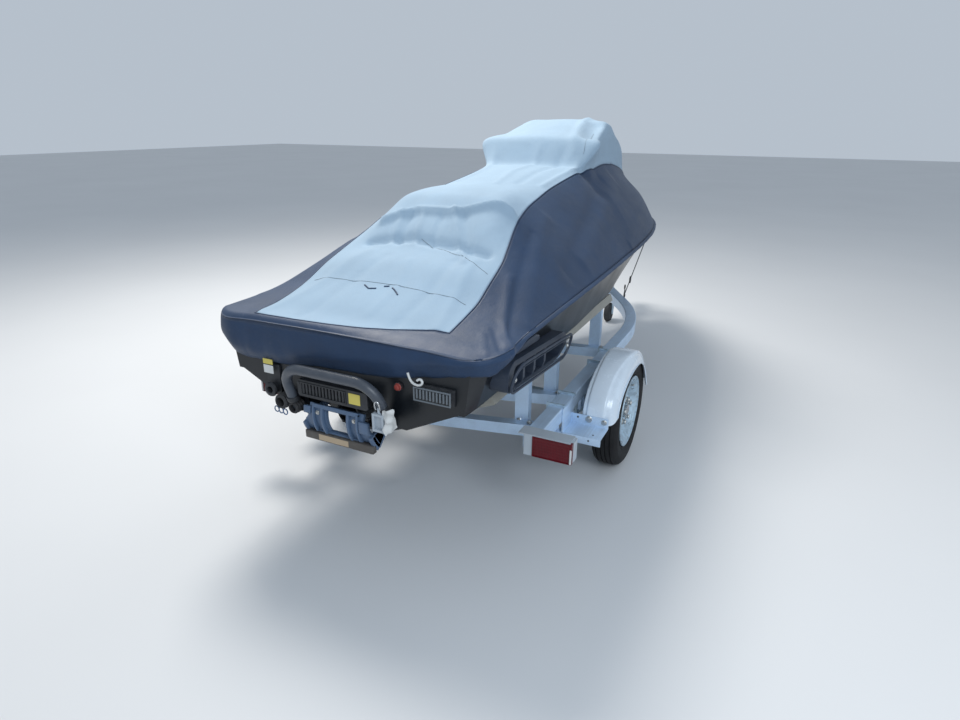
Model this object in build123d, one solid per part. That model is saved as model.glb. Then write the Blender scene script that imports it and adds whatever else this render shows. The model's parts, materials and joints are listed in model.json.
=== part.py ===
from build123d import *
import math
import os

# Personal watercraft under its storage cover, parked on its own single-axle aluminium trailer.
# Millimetres. +X is starboard, +Y is the bow, +Z is up. Stations are measured from the axle, and
# the whole is moved once at the end, so that the origin is on the ground at mid length.

# Overall
NOSE_REACH = 2750.0           # axle to the front of the coupler
FIT = 0.4                     # gap between faces that only pass each other
RUN_GAP = 8.0                 # gap round a moving piece

# Hull
TRANSOM_Y = -1120.0
HULL_LENGTH = 3460.0
HALF_BEAM = 592.0
HULL_DEPTH = 445.0            # keel to sheer amidships
KEEL_Z = 455.0
STRAKE_FLAT = 26.0
STRAKE_SHARE = 0.5            # strake, as a share of the run from keel to chine
TUNNEL_HALF = 108.0
TUNNEL_TOP = 212.0            # above the keel
TUNNEL_LENGTH = 480.0
INTAKE_LENGTH = 330.0
BAY_HALF = 225.0
BAY_FLOOR = 118.0             # above the keel
BAY_REAR = -290.0
BAY_LENGTH = 780.0

# Share of the length from the transom, keel rise, chine half beam, chine rise, sheer half beam,
# sheer rise. Beams are shares of HALF_BEAM, rises are shares of HULL_DEPTH above KEEL_Z.
HULL_STATIONS = (
    (0.000, 0.000, 0.831, 0.449, 0.880, 0.921),
    (0.020, 0.000, 0.845, 0.453, 0.960, 0.928),
    (0.150, 0.000, 0.853, 0.449, 0.988, 0.966),
    (0.320, 0.000, 0.853, 0.449, 1.000, 1.000),
    (0.500, 0.008, 0.828, 0.472, 0.988, 1.027),
    (0.640, 0.040, 0.743, 0.528, 0.949, 1.040),
    (0.760, 0.112, 0.608, 0.607, 0.848, 1.049),
    (0.860, 0.247, 0.405, 0.719, 0.667, 1.056),
    (0.940, 0.461, 0.194, 0.843, 0.405, 1.056),
    (1.000, 0.775, 0.024, 0.933, 0.076, 1.056),
)

# Cover
COVER_RISE = 1105.0           # keel to the crown over the handlebar
COVER_STANDOFF = 14.0         # cloth over the bumper
HEM_SHARE = 0.07              # hem, as a share of the side from sheer to chine
HEM_STERN = 0.36              # the same at the transom
HEM_LEVEL = 0.075             # share of the length where the hem has come up level
STERN_TUCK = 24.0
STERN_NARROW = 0.08           # share by which the cloth narrows over the stern tuck
STERN_HEM_PORT = 720.0        # the cloth's lower edge across the stern, pulled up to starboard
STERN_HEM_STARBOARD = 800.0
SIDE_SWELL = 26.0
STRAP_Y = 1400.0
STRAP_WIDTH = 20.0

# Share of the length from the transom, seam half width, seam rise, ridge half width, ridge rise,
# crown rise. Widths are shares of HALF_BEAM, rises are shares of COVER_RISE above KEEL_Z.
COVER_STATIONS = (
    (0.000, 0.600, 0.389, 0.400, 0.391, 0.394),
    (0.020, 0.583, 0.391, 0.400, 0.394, 0.396),
    (0.043, 0.595, 0.407, 0.422, 0.417, 0.425),
    (0.084, 0.608, 0.439, 0.456, 0.462, 0.471),
    (0.121, 0.622, 0.491, 0.443, 0.520, 0.527),
    (0.156, 0.622, 0.529, 0.422, 0.546, 0.551),
    (0.208, 0.566, 0.604, 0.405, 0.642, 0.652),
    (0.243, 0.524, 0.665, 0.385, 0.719, 0.730),
    (0.324, 0.476, 0.685, 0.338, 0.721, 0.742),
    (0.413, 0.459, 0.710, 0.338, 0.736, 0.765),
    (0.497, 0.476, 0.765, 0.443, 0.781, 0.794),
    (0.514, 0.490, 0.785, 0.524, 0.830, 0.855),
    (0.529, 0.503, 0.797, 0.595, 0.891, 0.919),
    (0.569, 0.493, 0.815, 0.524, 0.911, 0.948),
    (0.613, 0.480, 0.821, 0.473, 0.948, 0.975),
    (0.671, 0.473, 0.810, 0.431, 0.984, 1.000),
    (0.746, 0.436, 0.781, 0.372, 0.924, 0.937),
    (0.827, 0.375, 0.703, 0.321, 0.843, 0.855),
    (0.860, 0.338, 0.672, 0.291, 0.692, 0.703),
    (0.940, 0.203, 0.570, 0.149, 0.580, 0.584),
    (1.000, 0.051, 0.452, 0.030, 0.455, 0.457),
)
LIGHT_FROM = 0.020            # the pale panel starts and ends at these shares
LIGHT_TO = 0.860

# Sponsons
SPONSON_REAR = -1007.0
SPONSON_LENGTH = 590.0
SPONSON_HEIGHT = 116.0
SPONSON_DEPTH = 68.0
SPONSON_DROP = 50.0           # how far the front end sits below the rear end
SPONSON_Z = 756.0             # centre of the rear end
SPONSON_RIM = 21.0            # frame above and below the windows
SPONSON_END = 46.0            # frame behind and ahead of them
SPONSON_CORNER = 30.0
SPONSON_RIB = 18.0
SPONSON_RIBS = (0.235, 0.404, 0.580)

# Jet drive
PUMP_Z = 555.0
PUMP_RADIUS = 86.0
PUMP_BORE = 74.0
PUMP_FRONT = -700.0
PUMP_OUTLET = 34.0            # bore of the outlet that narrows into the nozzle
PUMP_OUTLET_LENGTH = 22.0
PUMP_TAPER = 48.0
IMPELLER_HUB = 26.0
IMPELLER_BLADES = 4
IMPELLER_Y = -800.0
IMPELLER_LENGTH = 70.0
SHAFT_RADIUS = 12.0
NOZZLE_PIVOT_Y = -985.0
NOZZLE_REACH = 112.0
NOZZLE_ROOT = 62.0
NOZZLE_TIP = 48.0
NOZZLE_WALL = 7.0
NOZZLE_LEAD = 14.0            # how far the nozzle reaches ahead of its pivot
NOZZLE_PIN = 6.0
YOKE_THICK = 10.0             # arms above and below the nozzle that carry its pins
YOKE_HALF = 12.0
GATE_LEAD = 53.0              # cross axis of the gate, aft of the nozzle's pivot
STERN_BAY_TOP = 165.0         # above the keel
PIN_RADIUS = 7.4
PIN_HOLE = 8.0
GATE_RADIUS = 127.0
GATE_WALL = 12.0
GATE_HALF = 152.0
GATE_ARM = 12.0
GATE_WINDOW = 86.0
PLATE_THICK = 10.0            # ride plate
GRATE_BARS = 5
GRATE_BAR = 9.0

# Stern fittings
GRILLE_WIDTH = 304.0
GRILLE_HEIGHT = 64.0
GRILLE_Z = 658.0
GRILLE_DEPTH = 58.0
GRILLE_SLOTS = 13
STEP_SETBACK = 18.0           # cross axis of the step, aft of the transom
STEP_RADIUS = 19.0
STEP_ARM = 190.0
STEP_HALF = 222.0             # to the outside of the tube's legs
STEP_BEND = 88.0
STEP_NECK = 32.0              # cross axis to the start of the tube
STEP_BOSS = 14.0
STEP_LEAN = 18.0              # degrees aft of upright when stowed
OUTLET_RADIUS = 24.0
OUTLET_LENGTH = 46.0
OUTLET_WALL = 6.0
OUTLET_RISE = 118.0           # above the keel
EYE_RADIUS = 22.0
EYE_BORE = 12.0
EYE_X = 312.0
EYE_Z = 606.0
EYE_DEPTH = 14.0
STERN_PLATE = 8.0
EYE_PLATE = (280.0, 344.0, 588.0, 700.0)      # inboard, outboard, low, high
VENT_PLATE = (312.0, 460.0, 686.0, 744.0)
FLUSH_X = 244.0
FLUSH_Z = 716.0
FLUSH_RADIUS = 16.0
BUCKLE_WIDTH = 46.0
BUCKLE_HEIGHT = 66.0
BUCKLE_DEPTH = 20.0
BUCKLE_FRAME = 8.0
BUCKLE_Z = 600.0
BUCKLE_SETBACK = 48.0         # its middle, aft of the step's cross axis

# Trailer
RAIL_X = 585.0
RAIL_SIZE = 64.0
RAIL_WALL = 4.0
RAIL_TOP = 450.0
RAIL_REAR = -760.0
BEND_START = 620.0
BEND_RADIUS = 1300.0
BEND_ANGLE = 30.0
TONGUE_SIZE = 64.0
TONGUE_REAR = 1560.0
CROSS_HEIGHT = 50.0
CROSS_DEPTH = 50.0
CROSS_WALL = 4.0
CROSS_DIP = 58.0              # how far the middle of a cross member hangs below its ends
# Station of each cross member's centre
CROSS_STATIONS = (("rear", -555.0), ("middle", -215.0), ("front", 480.0))
CLAMP_STATIONS = (-482.0, -345.0, 78.0, 262.0)
BUNK_X = 440.0
BUNK_WIDTH = 92.0
BUNK_THICK = 40.0
BUNK_REAR = -900.0
BUNK_LENGTH = 1560.0

# Running gear
TYRE_RADIUS = 265.5
TYRE_WIDTH = 122.0
RIM_RADIUS = 166.5
RIM_SEAT = 152.0
RIM_WIDTH = 106.0
RIM_WALL = 4.0
WHEEL_X = 733.0
HUB_RADIUS = 42.0
LUG_CIRCLE = 57.0
LUGS = 5
AXLE_SIZE = 45.0
SPRING_WIDTH = 45.0
SPRING_HALF = 300.0
LEAF_CURL = 12.0
LEAF_THICK = 8.0
FENDER_INSIDE = 48.0          # clearances of the fender's edges beside the tyre
FENDER_OUTSIDE = 38.0
FENDER_WALL = 5.0
FENDER_FRONT = 300.0
FENDER_REAR = -490.0
FENDER_TOP = 566.0
FENDER_RIBS = (672.0, 742.0)
FENDER_RIB_WIDTH = 16.0
FENDER_RIB_RISE = 6.0
FENDER_FOOT = 330.0
BRACKET_REAR = -500.0
BRACKET_LENGTH = 138.0

# Lamps
LAMP_WIDTH = 190.0
LAMP_HEIGHT = 84.0
LAMP_DEPTH = 62.0
LAMP_INBOARD = 22.0           # from the rail's middle
LENS_INSET = 34.0
LENS_DEPTH = 16.0
LAMP_ANGLE = (-45.0, 160.0)   # top angle's ends across, from the rail's middle

# Bow end of the trailer
POST_Y = 2440.0
POST_SIZE = 50.0
POST_TOP = 900.0
STOP_Y = 2352.0
JACK_X = 82.0
JACK_Y = 2250.0
JACK_TOP = 330.0              # above the tongue
JACK_TUBE = 25.0
JACK_WALL = 3.0
JACK_LEG = 20.0
JACK_WHEEL_RADIUS = 76.0
JACK_WHEEL_WIDTH = 46.0
BALL_RADIUS = 25.8
COUPLER_LENGTH = 190.0
COUPLER_WIDTH = 84.0
COUPLER_HEIGHT = 62.0

STEP_Y = TRANSOM_Y - STEP_SETBACK
STERN_REACH = STEP_ARM * math.sin(math.radians(STEP_LEAN)) + STEP_RADIUS - STEP_Y
AXLE_Y = (STERN_REACH - NOSE_REACH) / 2
GATE_Y = NOZZLE_PIVOT_Y - GATE_LEAD
STERN_BAY_FRONT = GATE_Y + 3 * RUN_GAP
STERN_BAY_HALF = GATE_HALF + RUN_GAP
RAIL_BOTTOM = RAIL_TOP - RAIL_SIZE
FENDER_INNER = WHEEL_X - TYRE_WIDTH / 2 - FENDER_INSIDE
FENDER_OUTER = WHEEL_X + TYRE_WIDTH / 2 + FENDER_OUTSIDE
AXLE_Z = TYRE_RADIUS
NODES = {}


def keep(name, *solids):
    """Stores the solids of one named piece."""
    NODES[name] = Compound(children=[s for s in solids]) if len(solids) > 1 else solids[0]


def block(x0, x1, y0, y1, z0, z1):
    return Pos((x0 + x1) / 2, (y0 + y1) / 2, (z0 + z1) / 2) * Box(x1 - x0, y1 - y0, z1 - z0)


def rod_x(radius, x0, x1, y, z):
    return Pos((x0 + x1) / 2, y, z) * Rot(0, 90, 0) * Cylinder(radius, x1 - x0)


def rod_y(radius, y0, y1, x, z):
    return Pos(x, (y0 + y1) / 2, z) * Rot(90, 0, 0) * Cylinder(radius, y1 - y0)


def rod_z(radius, z0, z1, x, y):
    return Pos(x, y, (z0 + z1) / 2) * Cylinder(radius, z1 - z0)


def face_at(y, outline):
    """A flat section across the craft from (x, z) points."""
    return make_face(Polyline(*[(x, y, z) for x, z in outline], close=True))


def side_face(x, outline):
    """A flat section along the craft from (y, z) points."""
    return make_face(Polyline(*[(x, y, z) for y, z in outline], close=True))


def slab_x(x0, x1, outline):
    """A plate between two stations across, cut to a side outline of (y, z) points."""
    return extrude(side_face(x0, outline), x1 - x0, dir=(1, 0, 0))


def slab_y(y0, y1, outline):
    return extrude(face_at(y0, outline), y1 - y0, dir=(0, 1, 0))


def mirrored(shape):
    return mirror(shape, about=Plane.YZ)


def pairs(solids):
    return solids + [mirrored(s) for s in solids]


def between(table, share):
    """One row of a station table, straight between its two nearest rows."""
    for low, high in zip(table, table[1:]):
        if share <= high[0]:
            part = (share - low[0]) / (high[0] - low[0])
            return [a + part * (b - a) for a, b in zip(low, high)]
    return list(table[-1])


def hull_at(share):
    """Keel z, chine x and z, sheer x and z at one station."""
    _, keel, chine_x, chine_z, sheer_x, sheer_z = between(HULL_STATIONS, share)
    return (KEEL_Z + keel * HULL_DEPTH, chine_x * HALF_BEAM, KEEL_Z + chine_z * HULL_DEPTH,
            sheer_x * HALF_BEAM, KEEL_Z + sheer_z * HULL_DEPTH)


def share_at(y):
    return min(max((y - TRANSOM_Y) / HULL_LENGTH, 0.0), 1.0)


def station(share):
    return TRANSOM_Y + share * HULL_LENGTH


def bottom_z(x, y):
    """Height of the hull's bottom at a place, strake left aside."""
    keel, chine_x, chine_z, _, _ = hull_at(share_at(y))
    return keel + (chine_z - keel) * abs(x) / chine_x


def hem_at(share):
    """Half width and height of the hull where the cloth's lower edge lies."""
    _, chine_x, chine_z, sheer_x, sheer_z = hull_at(share)
    fall = HEM_SHARE + (HEM_STERN - HEM_SHARE) * max(0.0, 1 - share / HEM_LEVEL)
    return sheer_x + fall * (chine_x - sheer_x), sheer_z + fall * (chine_z - sheer_z)


def ring_x(points, x, y, z):
    """A ring about a cross axis from (across, radius) points."""
    outline = [(x + across, y, z + radius) for across, radius in points]
    return revolve(make_face(Polyline(*outline, close=True)), axis=Axis((x, y, z), (1, 0, 0)))


def ring_y(points, z):
    """A ring about a lengthwise axis on the centre plane from (station, radius) points."""
    outline = [(0, y, z + radius) for y, radius in points]
    return revolve(make_face(Polyline(*outline, close=True)), axis=Axis((0, 0, z), (0, 1, 0)))


def both(points):
    """A closed outline from its starboard half, keel first."""
    return points + [(-x, z) for x, z in reversed(points) if x > 0]


# Hull
def hull_section(share):
    keel, chine_x, chine_z, sheer_x, sheer_z = hull_at(share)
    flat = STRAKE_FLAT * chine_x / HALF_BEAM
    strake_x = STRAKE_SHARE * chine_x
    strake_z = keel + STRAKE_SHARE * (chine_z - keel)
    points = [(0, keel), (strake_x, strake_z), (strake_x + flat, strake_z), (chine_x - flat, chine_z),
              (chine_x, chine_z), (sheer_x, sheer_z)]
    return face_at(station(share), both(points))


def make_hull():
    hull = loft([hull_section(row[0]) for row in HULL_STATIONS], ruled=True)
    low = KEEL_Z - HULL_DEPTH
    top = KEEL_Z + TUNNEL_TOP
    front = TRANSOM_Y + TUNNEL_LENGTH
    hull -= block(-TUNNEL_HALF, TUNNEL_HALF, TRANSOM_Y - RUN_GAP, front, low, top)
    hull -= block(-STERN_BAY_HALF, STERN_BAY_HALF, TRANSOM_Y - RUN_GAP, STERN_BAY_FRONT, low,
                  KEEL_Z + STERN_BAY_TOP)
    duct_half = TUNNEL_HALF - 2 * RUN_GAP
    hull -= slab_x(-duct_half, duct_half, [(front, low), (front, PUMP_Z + PUMP_BORE),
                                           (front + INTAKE_LENGTH, KEEL_Z), (front + INTAKE_LENGTH, low)])
    hull -= rod_y(SHAFT_RADIUS + RUN_GAP, front, BAY_REAR, 0, PUMP_Z)
    floor = KEEL_Z + BAY_FLOOR
    hull -= block(-BAY_HALF, BAY_HALF, BAY_REAR, BAY_REAR + BAY_LENGTH, floor, KEEL_Z + 2 * HULL_DEPTH)
    keep("hull", hull)


def make_engine():
    """Engine, one plain block on the bay's floor at its real place and size."""
    width, length, height = 380.0, 620.0, 230.0
    floor = KEEL_Z + BAY_FLOOR
    rear = BAY_REAR + 60
    keep("engine_block", block(-width / 2, width / 2, rear, rear + length, floor, floor + height))


# Cover
def cover_at(share):
    """Seam x and z, ridge x and z, crown z at one station."""
    _, seam_x, seam_z, ridge_x, ridge_z, crown = between(COVER_STATIONS, share)
    return (seam_x * HALF_BEAM, KEEL_Z + seam_z * COVER_RISE, ridge_x * HALF_BEAM,
            KEEL_Z + ridge_z * COVER_RISE, KEEL_Z + crown * COVER_RISE)


def side_outline(share):
    """Dark panels: outside from hem to seam, then across, then in along the hull."""
    _, _, _, sheer_x, sheer_z = hull_at(share)
    seam_x, seam_z, _, _, _ = cover_at(share)
    hem_x, hem_z = hem_at(share)
    off = COVER_STANDOFF
    swell_x = (sheer_x + off + seam_x) / 2 + SIDE_SWELL
    swell_z = (sheer_z + seam_z) / 2
    outer = [(hem_x + off, hem_z), (sheer_x + off, sheer_z), (swell_x, swell_z), (seam_x, seam_z)]
    inner = [(sheer_x, sheer_z), (hem_x + FIT, hem_z)]
    loop = outer + [(-x, z) for x, z in reversed(outer)]
    return loop + [(-x, z) for x, z in reversed(inner)] + inner


def stern_outline(narrow):
    """Dark panel over the transom, with its lower edge pulled up to starboard."""
    across = side_outline(0)[1:7]
    hem_x = hem_at(0)[0] + COVER_STANDOFF
    low = [(-hem_x, STERN_HEM_PORT), (hem_x, STERN_HEM_STARBOARD)]
    return [(x * (1 - narrow), z) for x, z in across + low]


def top_outline(share):
    """Pale panel: from seam to seam over the ridge and the crown."""
    seam_x, seam_z, ridge_x, ridge_z, crown = cover_at(share)
    shoulder = (0.55 * ridge_x, ridge_z + 0.7 * (crown - ridge_z))
    half = [(seam_x, seam_z), (ridge_x, ridge_z), shoulder]
    return half + [(0, crown)] + [(-x, z) for x, z in reversed(half)]


def make_cover():
    shares = sorted({row[0] for row in HULL_STATIONS + COVER_STATIONS} | {HEM_LEVEL})
    sides = loft([face_at(station(s), side_outline(s)) for s in shares], ruled=True)
    sides += loft([face_at(TRANSOM_Y - STERN_TUCK, stern_outline(STERN_NARROW)),
                   face_at(TRANSOM_Y, stern_outline(0))], ruled=True)
    keep("cover_sides", sides)
    pale = [s for s in shares if LIGHT_FROM <= s <= LIGHT_TO]
    keep("cover_top", loft([face_at(station(s), top_outline(s)) for s in pale], ruled=True))


# Sponsons
def make_sponson():
    """Starboard sponson: a rounded bar with windows, cut to sit on the hull's side."""
    slope = math.degrees(math.atan2(SPONSON_DROP, SPONSON_LENGTH))
    middle = SPONSON_REAR + SPONSON_LENGTH / 2
    middle_z = SPONSON_Z - SPONSON_DROP / 2
    clear_length = SPONSON_LENGTH - 2 * SPONSON_END
    windows = RectangleRounded(clear_length, SPONSON_HEIGHT - 2 * SPONSON_RIM, SPONSON_CORNER)
    for share in SPONSON_RIBS:
        windows -= Pos((share - 0.5) * SPONSON_LENGTH, 0) * Rectangle(SPONSON_RIB, SPONSON_HEIGHT)
    rounded = SlotOverall(SPONSON_LENGTH, SPONSON_HEIGHT) - windows
    plane = Plane(origin=(0, middle, middle_z), x_dir=(0, 1, 0), z_dir=(1, 0, 0))
    bar = plane * Rot(0, 0, -slope) * extrude(rounded, HALF_BEAM)
    rear, front = share_at(SPONSON_REAR - SPONSON_DEPTH), share_at(SPONSON_REAR + SPONSON_LENGTH)
    stations = [rear] + [row[0] for row in HULL_STATIONS if rear < row[0] < front] + [front]

    def wall(inset, outset):
        faces = []
        for s in stations:
            _, chine_x, chine_z, sheer_x, sheer_z = hull_at(s)
            lean = (sheer_x - chine_x) / (sheer_z - chine_z)
            low, high = chine_z - HULL_DEPTH, sheer_z + HULL_DEPTH
            low_x, high_x = chine_x - lean * HULL_DEPTH, sheer_x + lean * HULL_DEPTH
            faces.append(face_at(station(s), [(low_x + inset, low), (low_x + outset, low),
                                              (high_x + outset, high), (high_x + inset, high)]))
        return loft(faces, ruled=True)

    return bar & wall(FIT, SPONSON_DEPTH)


# Jet drive
def make_drive():
    """Pump with its narrowing outlet and yoke, impeller on its shaft, and steering nozzle."""
    pump_rear = NOZZLE_PIVOT_Y + NOZZLE_LEAD + 2
    neck = pump_rear + PUMP_OUTLET_LENGTH
    wide = neck + PUMP_TAPER
    wall = PUMP_RADIUS - PUMP_BORE
    tip = PUMP_OUTLET + wall / 2
    pump = ring_y([(pump_rear, PUMP_OUTLET), (pump_rear, tip), (neck, tip), (wide, PUMP_RADIUS),
                   (PUMP_FRONT, PUMP_RADIUS), (PUMP_FRONT, PUMP_BORE), (wide, PUMP_BORE),
                   (neck, PUMP_OUTLET)], PUMP_Z)
    flange = rod_y(PUMP_RADIUS + 4, PUMP_FRONT - 18, PUMP_FRONT, 0, PUMP_Z)
    pump += flange - rod_y(PUMP_BORE, PUMP_FRONT - 19, PUMP_FRONT + 1, 0, PUMP_Z)
    mount = KEEL_Z + TUNNEL_TOP
    for x in (-46, 46):
        foot = block(x - 8, x + 8, wide, PUMP_FRONT, PUMP_Z + PUMP_RADIUS / 2, mount)
        pump += foot - rod_y(PUMP_RADIUS - wall / 2, wide - 1, PUMP_FRONT + 1, 0, PUMP_Z)
    boss = NOZZLE_ROOT + 6
    yoke = boss + 1
    for side in (-1, 1):
        low, high = sorted((PUMP_Z + side * yoke, PUMP_Z + side * (yoke + YOKE_THICK)))
        pump += block(-YOKE_HALF, YOKE_HALF, NOZZLE_PIVOT_Y - YOKE_HALF, wide + YOKE_THICK, low, high)
        low, high = sorted((PUMP_Z + side * (yoke + 1), PUMP_Z + side * (boss - 10)))
        pump += rod_z(NOZZLE_PIN, low, high, 0, NOZZLE_PIVOT_Y)
    keep("pump_housing", pump)

    hub = rod_y(IMPELLER_HUB, IMPELLER_Y - IMPELLER_LENGTH / 2, IMPELLER_Y + IMPELLER_LENGTH / 2, 0, PUMP_Z)
    shaft_front = TRANSOM_Y + TUNNEL_LENGTH + 60
    hub += rod_y(SHAFT_RADIUS, IMPELLER_Y, shaft_front, 0, PUMP_Z)
    reach = PUMP_BORE - RUN_GAP
    root = IMPELLER_HUB / 2
    for i in range(IMPELLER_BLADES):
        blade = Pos(0, 0, (reach + root) / 2) * Box(5, IMPELLER_LENGTH * 1.1, reach - root)
        blade = Rot(0, 0, 42) * blade
        hub += Pos(0, IMPELLER_Y, PUMP_Z) * Rot(0, i * 360 / IMPELLER_BLADES, 0) * blade
    keep("impeller", hub & rod_y(reach, IMPELLER_Y - IMPELLER_LENGTH, shaft_front, 0, PUMP_Z))

    root_y, tip_y = NOZZLE_PIVOT_Y + NOZZLE_LEAD, NOZZLE_PIVOT_Y - NOZZLE_REACH
    inner_root, inner_tip = NOZZLE_ROOT - NOZZLE_WALL, NOZZLE_TIP - NOZZLE_WALL
    nozzle = ring_y([(root_y, inner_root), (root_y, NOZZLE_ROOT), (tip_y, NOZZLE_TIP),
                     (tip_y, inner_tip)], PUMP_Z)
    for side in (-1, 1):
        low, high = sorted((PUMP_Z + side * (inner_root + 2), PUMP_Z + side * boss))
        nozzle += rod_z(NOZZLE_PIN + NOZZLE_WALL, low, high, 0, NOZZLE_PIVOT_Y)
        low, high = sorted((PUMP_Z + side * (boss - 11), PUMP_Z + side * (boss + 1)))
        nozzle -= rod_z(NOZZLE_PIN + FIT, low, high, 0, NOZZLE_PIVOT_Y)
    keep("steering_nozzle", nozzle)


def gate_sector(inner, outer, low, high):
    """A ring sector about the gate's pivot, in degrees below and above level, facing aft."""
    def at(radius, degrees):
        turn = math.radians(degrees)
        return GATE_Y - radius * math.cos(turn), PUMP_Z + radius * math.sin(turn)
    middle = (low + high) / 2
    edges = [Line(at(inner, low), at(outer, low)),
             ThreePointArc(at(outer, low), at(outer, middle), at(outer, high)),
             Line(at(outer, high), at(inner, high)),
             ThreePointArc(at(inner, high), at(inner, middle), at(inner, low))]
    return make_face(edges)


def make_gate():
    """Reverse gate: a curved scoop on two tapering arms about one cross pivot."""
    plane = Plane(origin=(-GATE_HALF, 0, 0), x_dir=(0, 1, 0), z_dir=(1, 0, 0))
    inner = GATE_RADIUS - GATE_WALL
    shell = plane * extrude(gate_sector(inner, GATE_RADIUS, -50, 20), 2 * GATE_HALF)
    top = GATE_HALF - 34
    half = GATE_WINDOW / 2
    shell -= block(-half, half, GATE_Y - GATE_RADIUS - 1, GATE_Y, PUMP_Z - 62, PUMP_Z + 26)
    for side in (-1, 1):
        notch = [(side * top, PUMP_Z + GATE_RADIUS), (side * top, PUMP_Z + 6),
                 (side * (GATE_HALF + 1), PUMP_Z - 40), (side * (GATE_HALF + 1), PUMP_Z + GATE_RADIUS)]
        shell -= slab_y(GATE_Y - GATE_RADIUS - 1, GATE_Y - inner / 2, notch)
    foot = math.radians(50)
    arm = [(GATE_Y + 10, PUMP_Z - 12), (GATE_Y + 10, PUMP_Z + 12),
           (GATE_Y - inner * math.cos(0.25) - 2, PUMP_Z - 30),
           (GATE_Y - (inner + 2) * math.cos(foot), PUMP_Z - (inner + 2) * math.sin(foot))]
    gate = shell
    for side in (-1, 1):
        x0 = side * GATE_HALF if side < 0 else GATE_HALF - GATE_ARM
        gate += slab_x(x0, x0 + GATE_ARM, arm) + rod_x(14, x0, x0 + GATE_ARM, GATE_Y, PUMP_Z)
    keep("reverse_gate", gate - rod_x(PIN_HOLE, -GATE_HALF - 1, GATE_HALF + 1, GATE_Y, PUMP_Z))


def make_pivot_pins():
    """Lugs with pins on the transom for the boarding step, and the gate's pins on the bay's walls."""
    solids = []
    leg = STEP_HALF - STEP_RADIUS
    for side in (-1, 1):
        x0, x1 = sorted((side * (leg - 31), side * (leg - 17)))
        lug = block(x0, x1, STEP_Y, TRANSOM_Y, PUMP_Z - 10, PUMP_Z + 12) + rod_x(12, x0, x1, STEP_Y, PUMP_Z)
        x0, x1 = sorted((side * (leg - 31), side * (leg + 12)))
        solids.append(lug + rod_x(PIN_RADIUS, x0, x1, STEP_Y, PUMP_Z))
        x0, x1 = sorted((side * (GATE_HALF - GATE_ARM), side * STERN_BAY_HALF))
        solids.append(rod_x(PIN_RADIUS, x0, x1, GATE_Y, PUMP_Z))
    return solids


def step_place(across, along):
    """A place in the stowed step's plane: across, and outward from its cross axis."""
    lean = math.radians(STEP_LEAN)
    return across, STEP_Y - along * math.sin(lean), PUMP_Z + along * math.cos(lean)


def make_step():
    """Boarding step: one tube bent to a U on two necks, stowed up against the stern."""
    leg = STEP_HALF - STEP_RADIUS
    turn = STEP_BEND * (1 - math.sqrt(0.5))
    low, high, flat = STEP_NECK, STEP_ARM, leg - STEP_BEND
    place = [step_place(*at) for at in (
        (-leg, low), (-leg, high - STEP_BEND), (turn - leg, high - turn), (-flat, high),
        (flat, high), (leg - turn, high - turn), (leg, high - STEP_BEND), (leg, low))]
    path = Wire([Line(place[0], place[1]), ThreePointArc(place[1], place[2], place[3]),
                 Line(place[3], place[4]), ThreePointArc(place[4], place[5], place[6]),
                 Line(place[6], place[7])])
    up = Vector(*step_place(0, 1)) - Vector(*step_place(0, 0))
    step = sweep(Plane(origin=place[0], z_dir=up) * Circle(STEP_RADIUS), path=path)
    for x in (-leg, leg):
        root = Plane(origin=step_place(x, 0), x_dir=(1, 0, 0), z_dir=up)
        neck = root * extrude(Rectangle(18, 22), STEP_NECK + 4)
        step += neck + rod_x(STEP_BOSS, x - 9, x + 9, STEP_Y, PUMP_Z)
        step -= rod_x(PIN_HOLE, x - 10, x + 10, STEP_Y, PUMP_Z)
    keep("boarding_step", step)


# Stern fittings
def make_stern():
    half = GRILLE_WIDTH / 2
    rear = TRANSOM_Y - GRILLE_DEPTH
    low, high = GRILLE_Z - GRILLE_HEIGHT / 2, GRILLE_Z + GRILLE_HEIGHT / 2
    grille = block(-half, half, rear, TRANSOM_Y, low, high)
    grille = fillet(grille.edges().filter_by(Axis.Y), 12)
    pitch = 0.62 * GRILLE_WIDTH / GRILLE_SLOTS
    for i in range(GRILLE_SLOTS):
        x = -0.40 * GRILLE_WIDTH + i * pitch
        grille -= block(x, x + pitch * 0.45, rear - 1, rear + 20, low + 12, high - 12)
    keep("grille_housing", grille)

    face = TRANSOM_Y - STERN_PLATE
    x0, x1, z0, z1 = EYE_PLATE
    port = block(-x1, -x0, face, TRANSOM_Y, z0, z1) + rod_y(EYE_RADIUS, face - EYE_DEPTH, face, -EYE_X, EYE_Z)
    port -= rod_y(EYE_BORE, face - EYE_DEPTH - 1, TRANSOM_Y + 1, -EYE_X, EYE_Z)
    x0, x1, z0, z1 = VENT_PLATE
    vent = block(x0, x1, face, TRANSOM_Y, z0, z1)
    keep("stern_fittings", port, vent, rod_y(FLUSH_RADIUS, face, TRANSOM_Y, FLUSH_X, FLUSH_Z))


def make_outlet():
    x = -(STEP_HALF + RUN_GAP + OUTLET_RADIUS)
    z = KEEL_Z + OUTLET_RISE
    outlet = rod_y(OUTLET_RADIUS, TRANSOM_Y - OUTLET_LENGTH, TRANSOM_Y, x, z)
    bore = rod_y(OUTLET_RADIUS - OUTLET_WALL, TRANSOM_Y - OUTLET_LENGTH - 1, TRANSOM_Y - OUTLET_WALL, x, z)
    keep("exhaust_outlet", outlet - bore)


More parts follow.
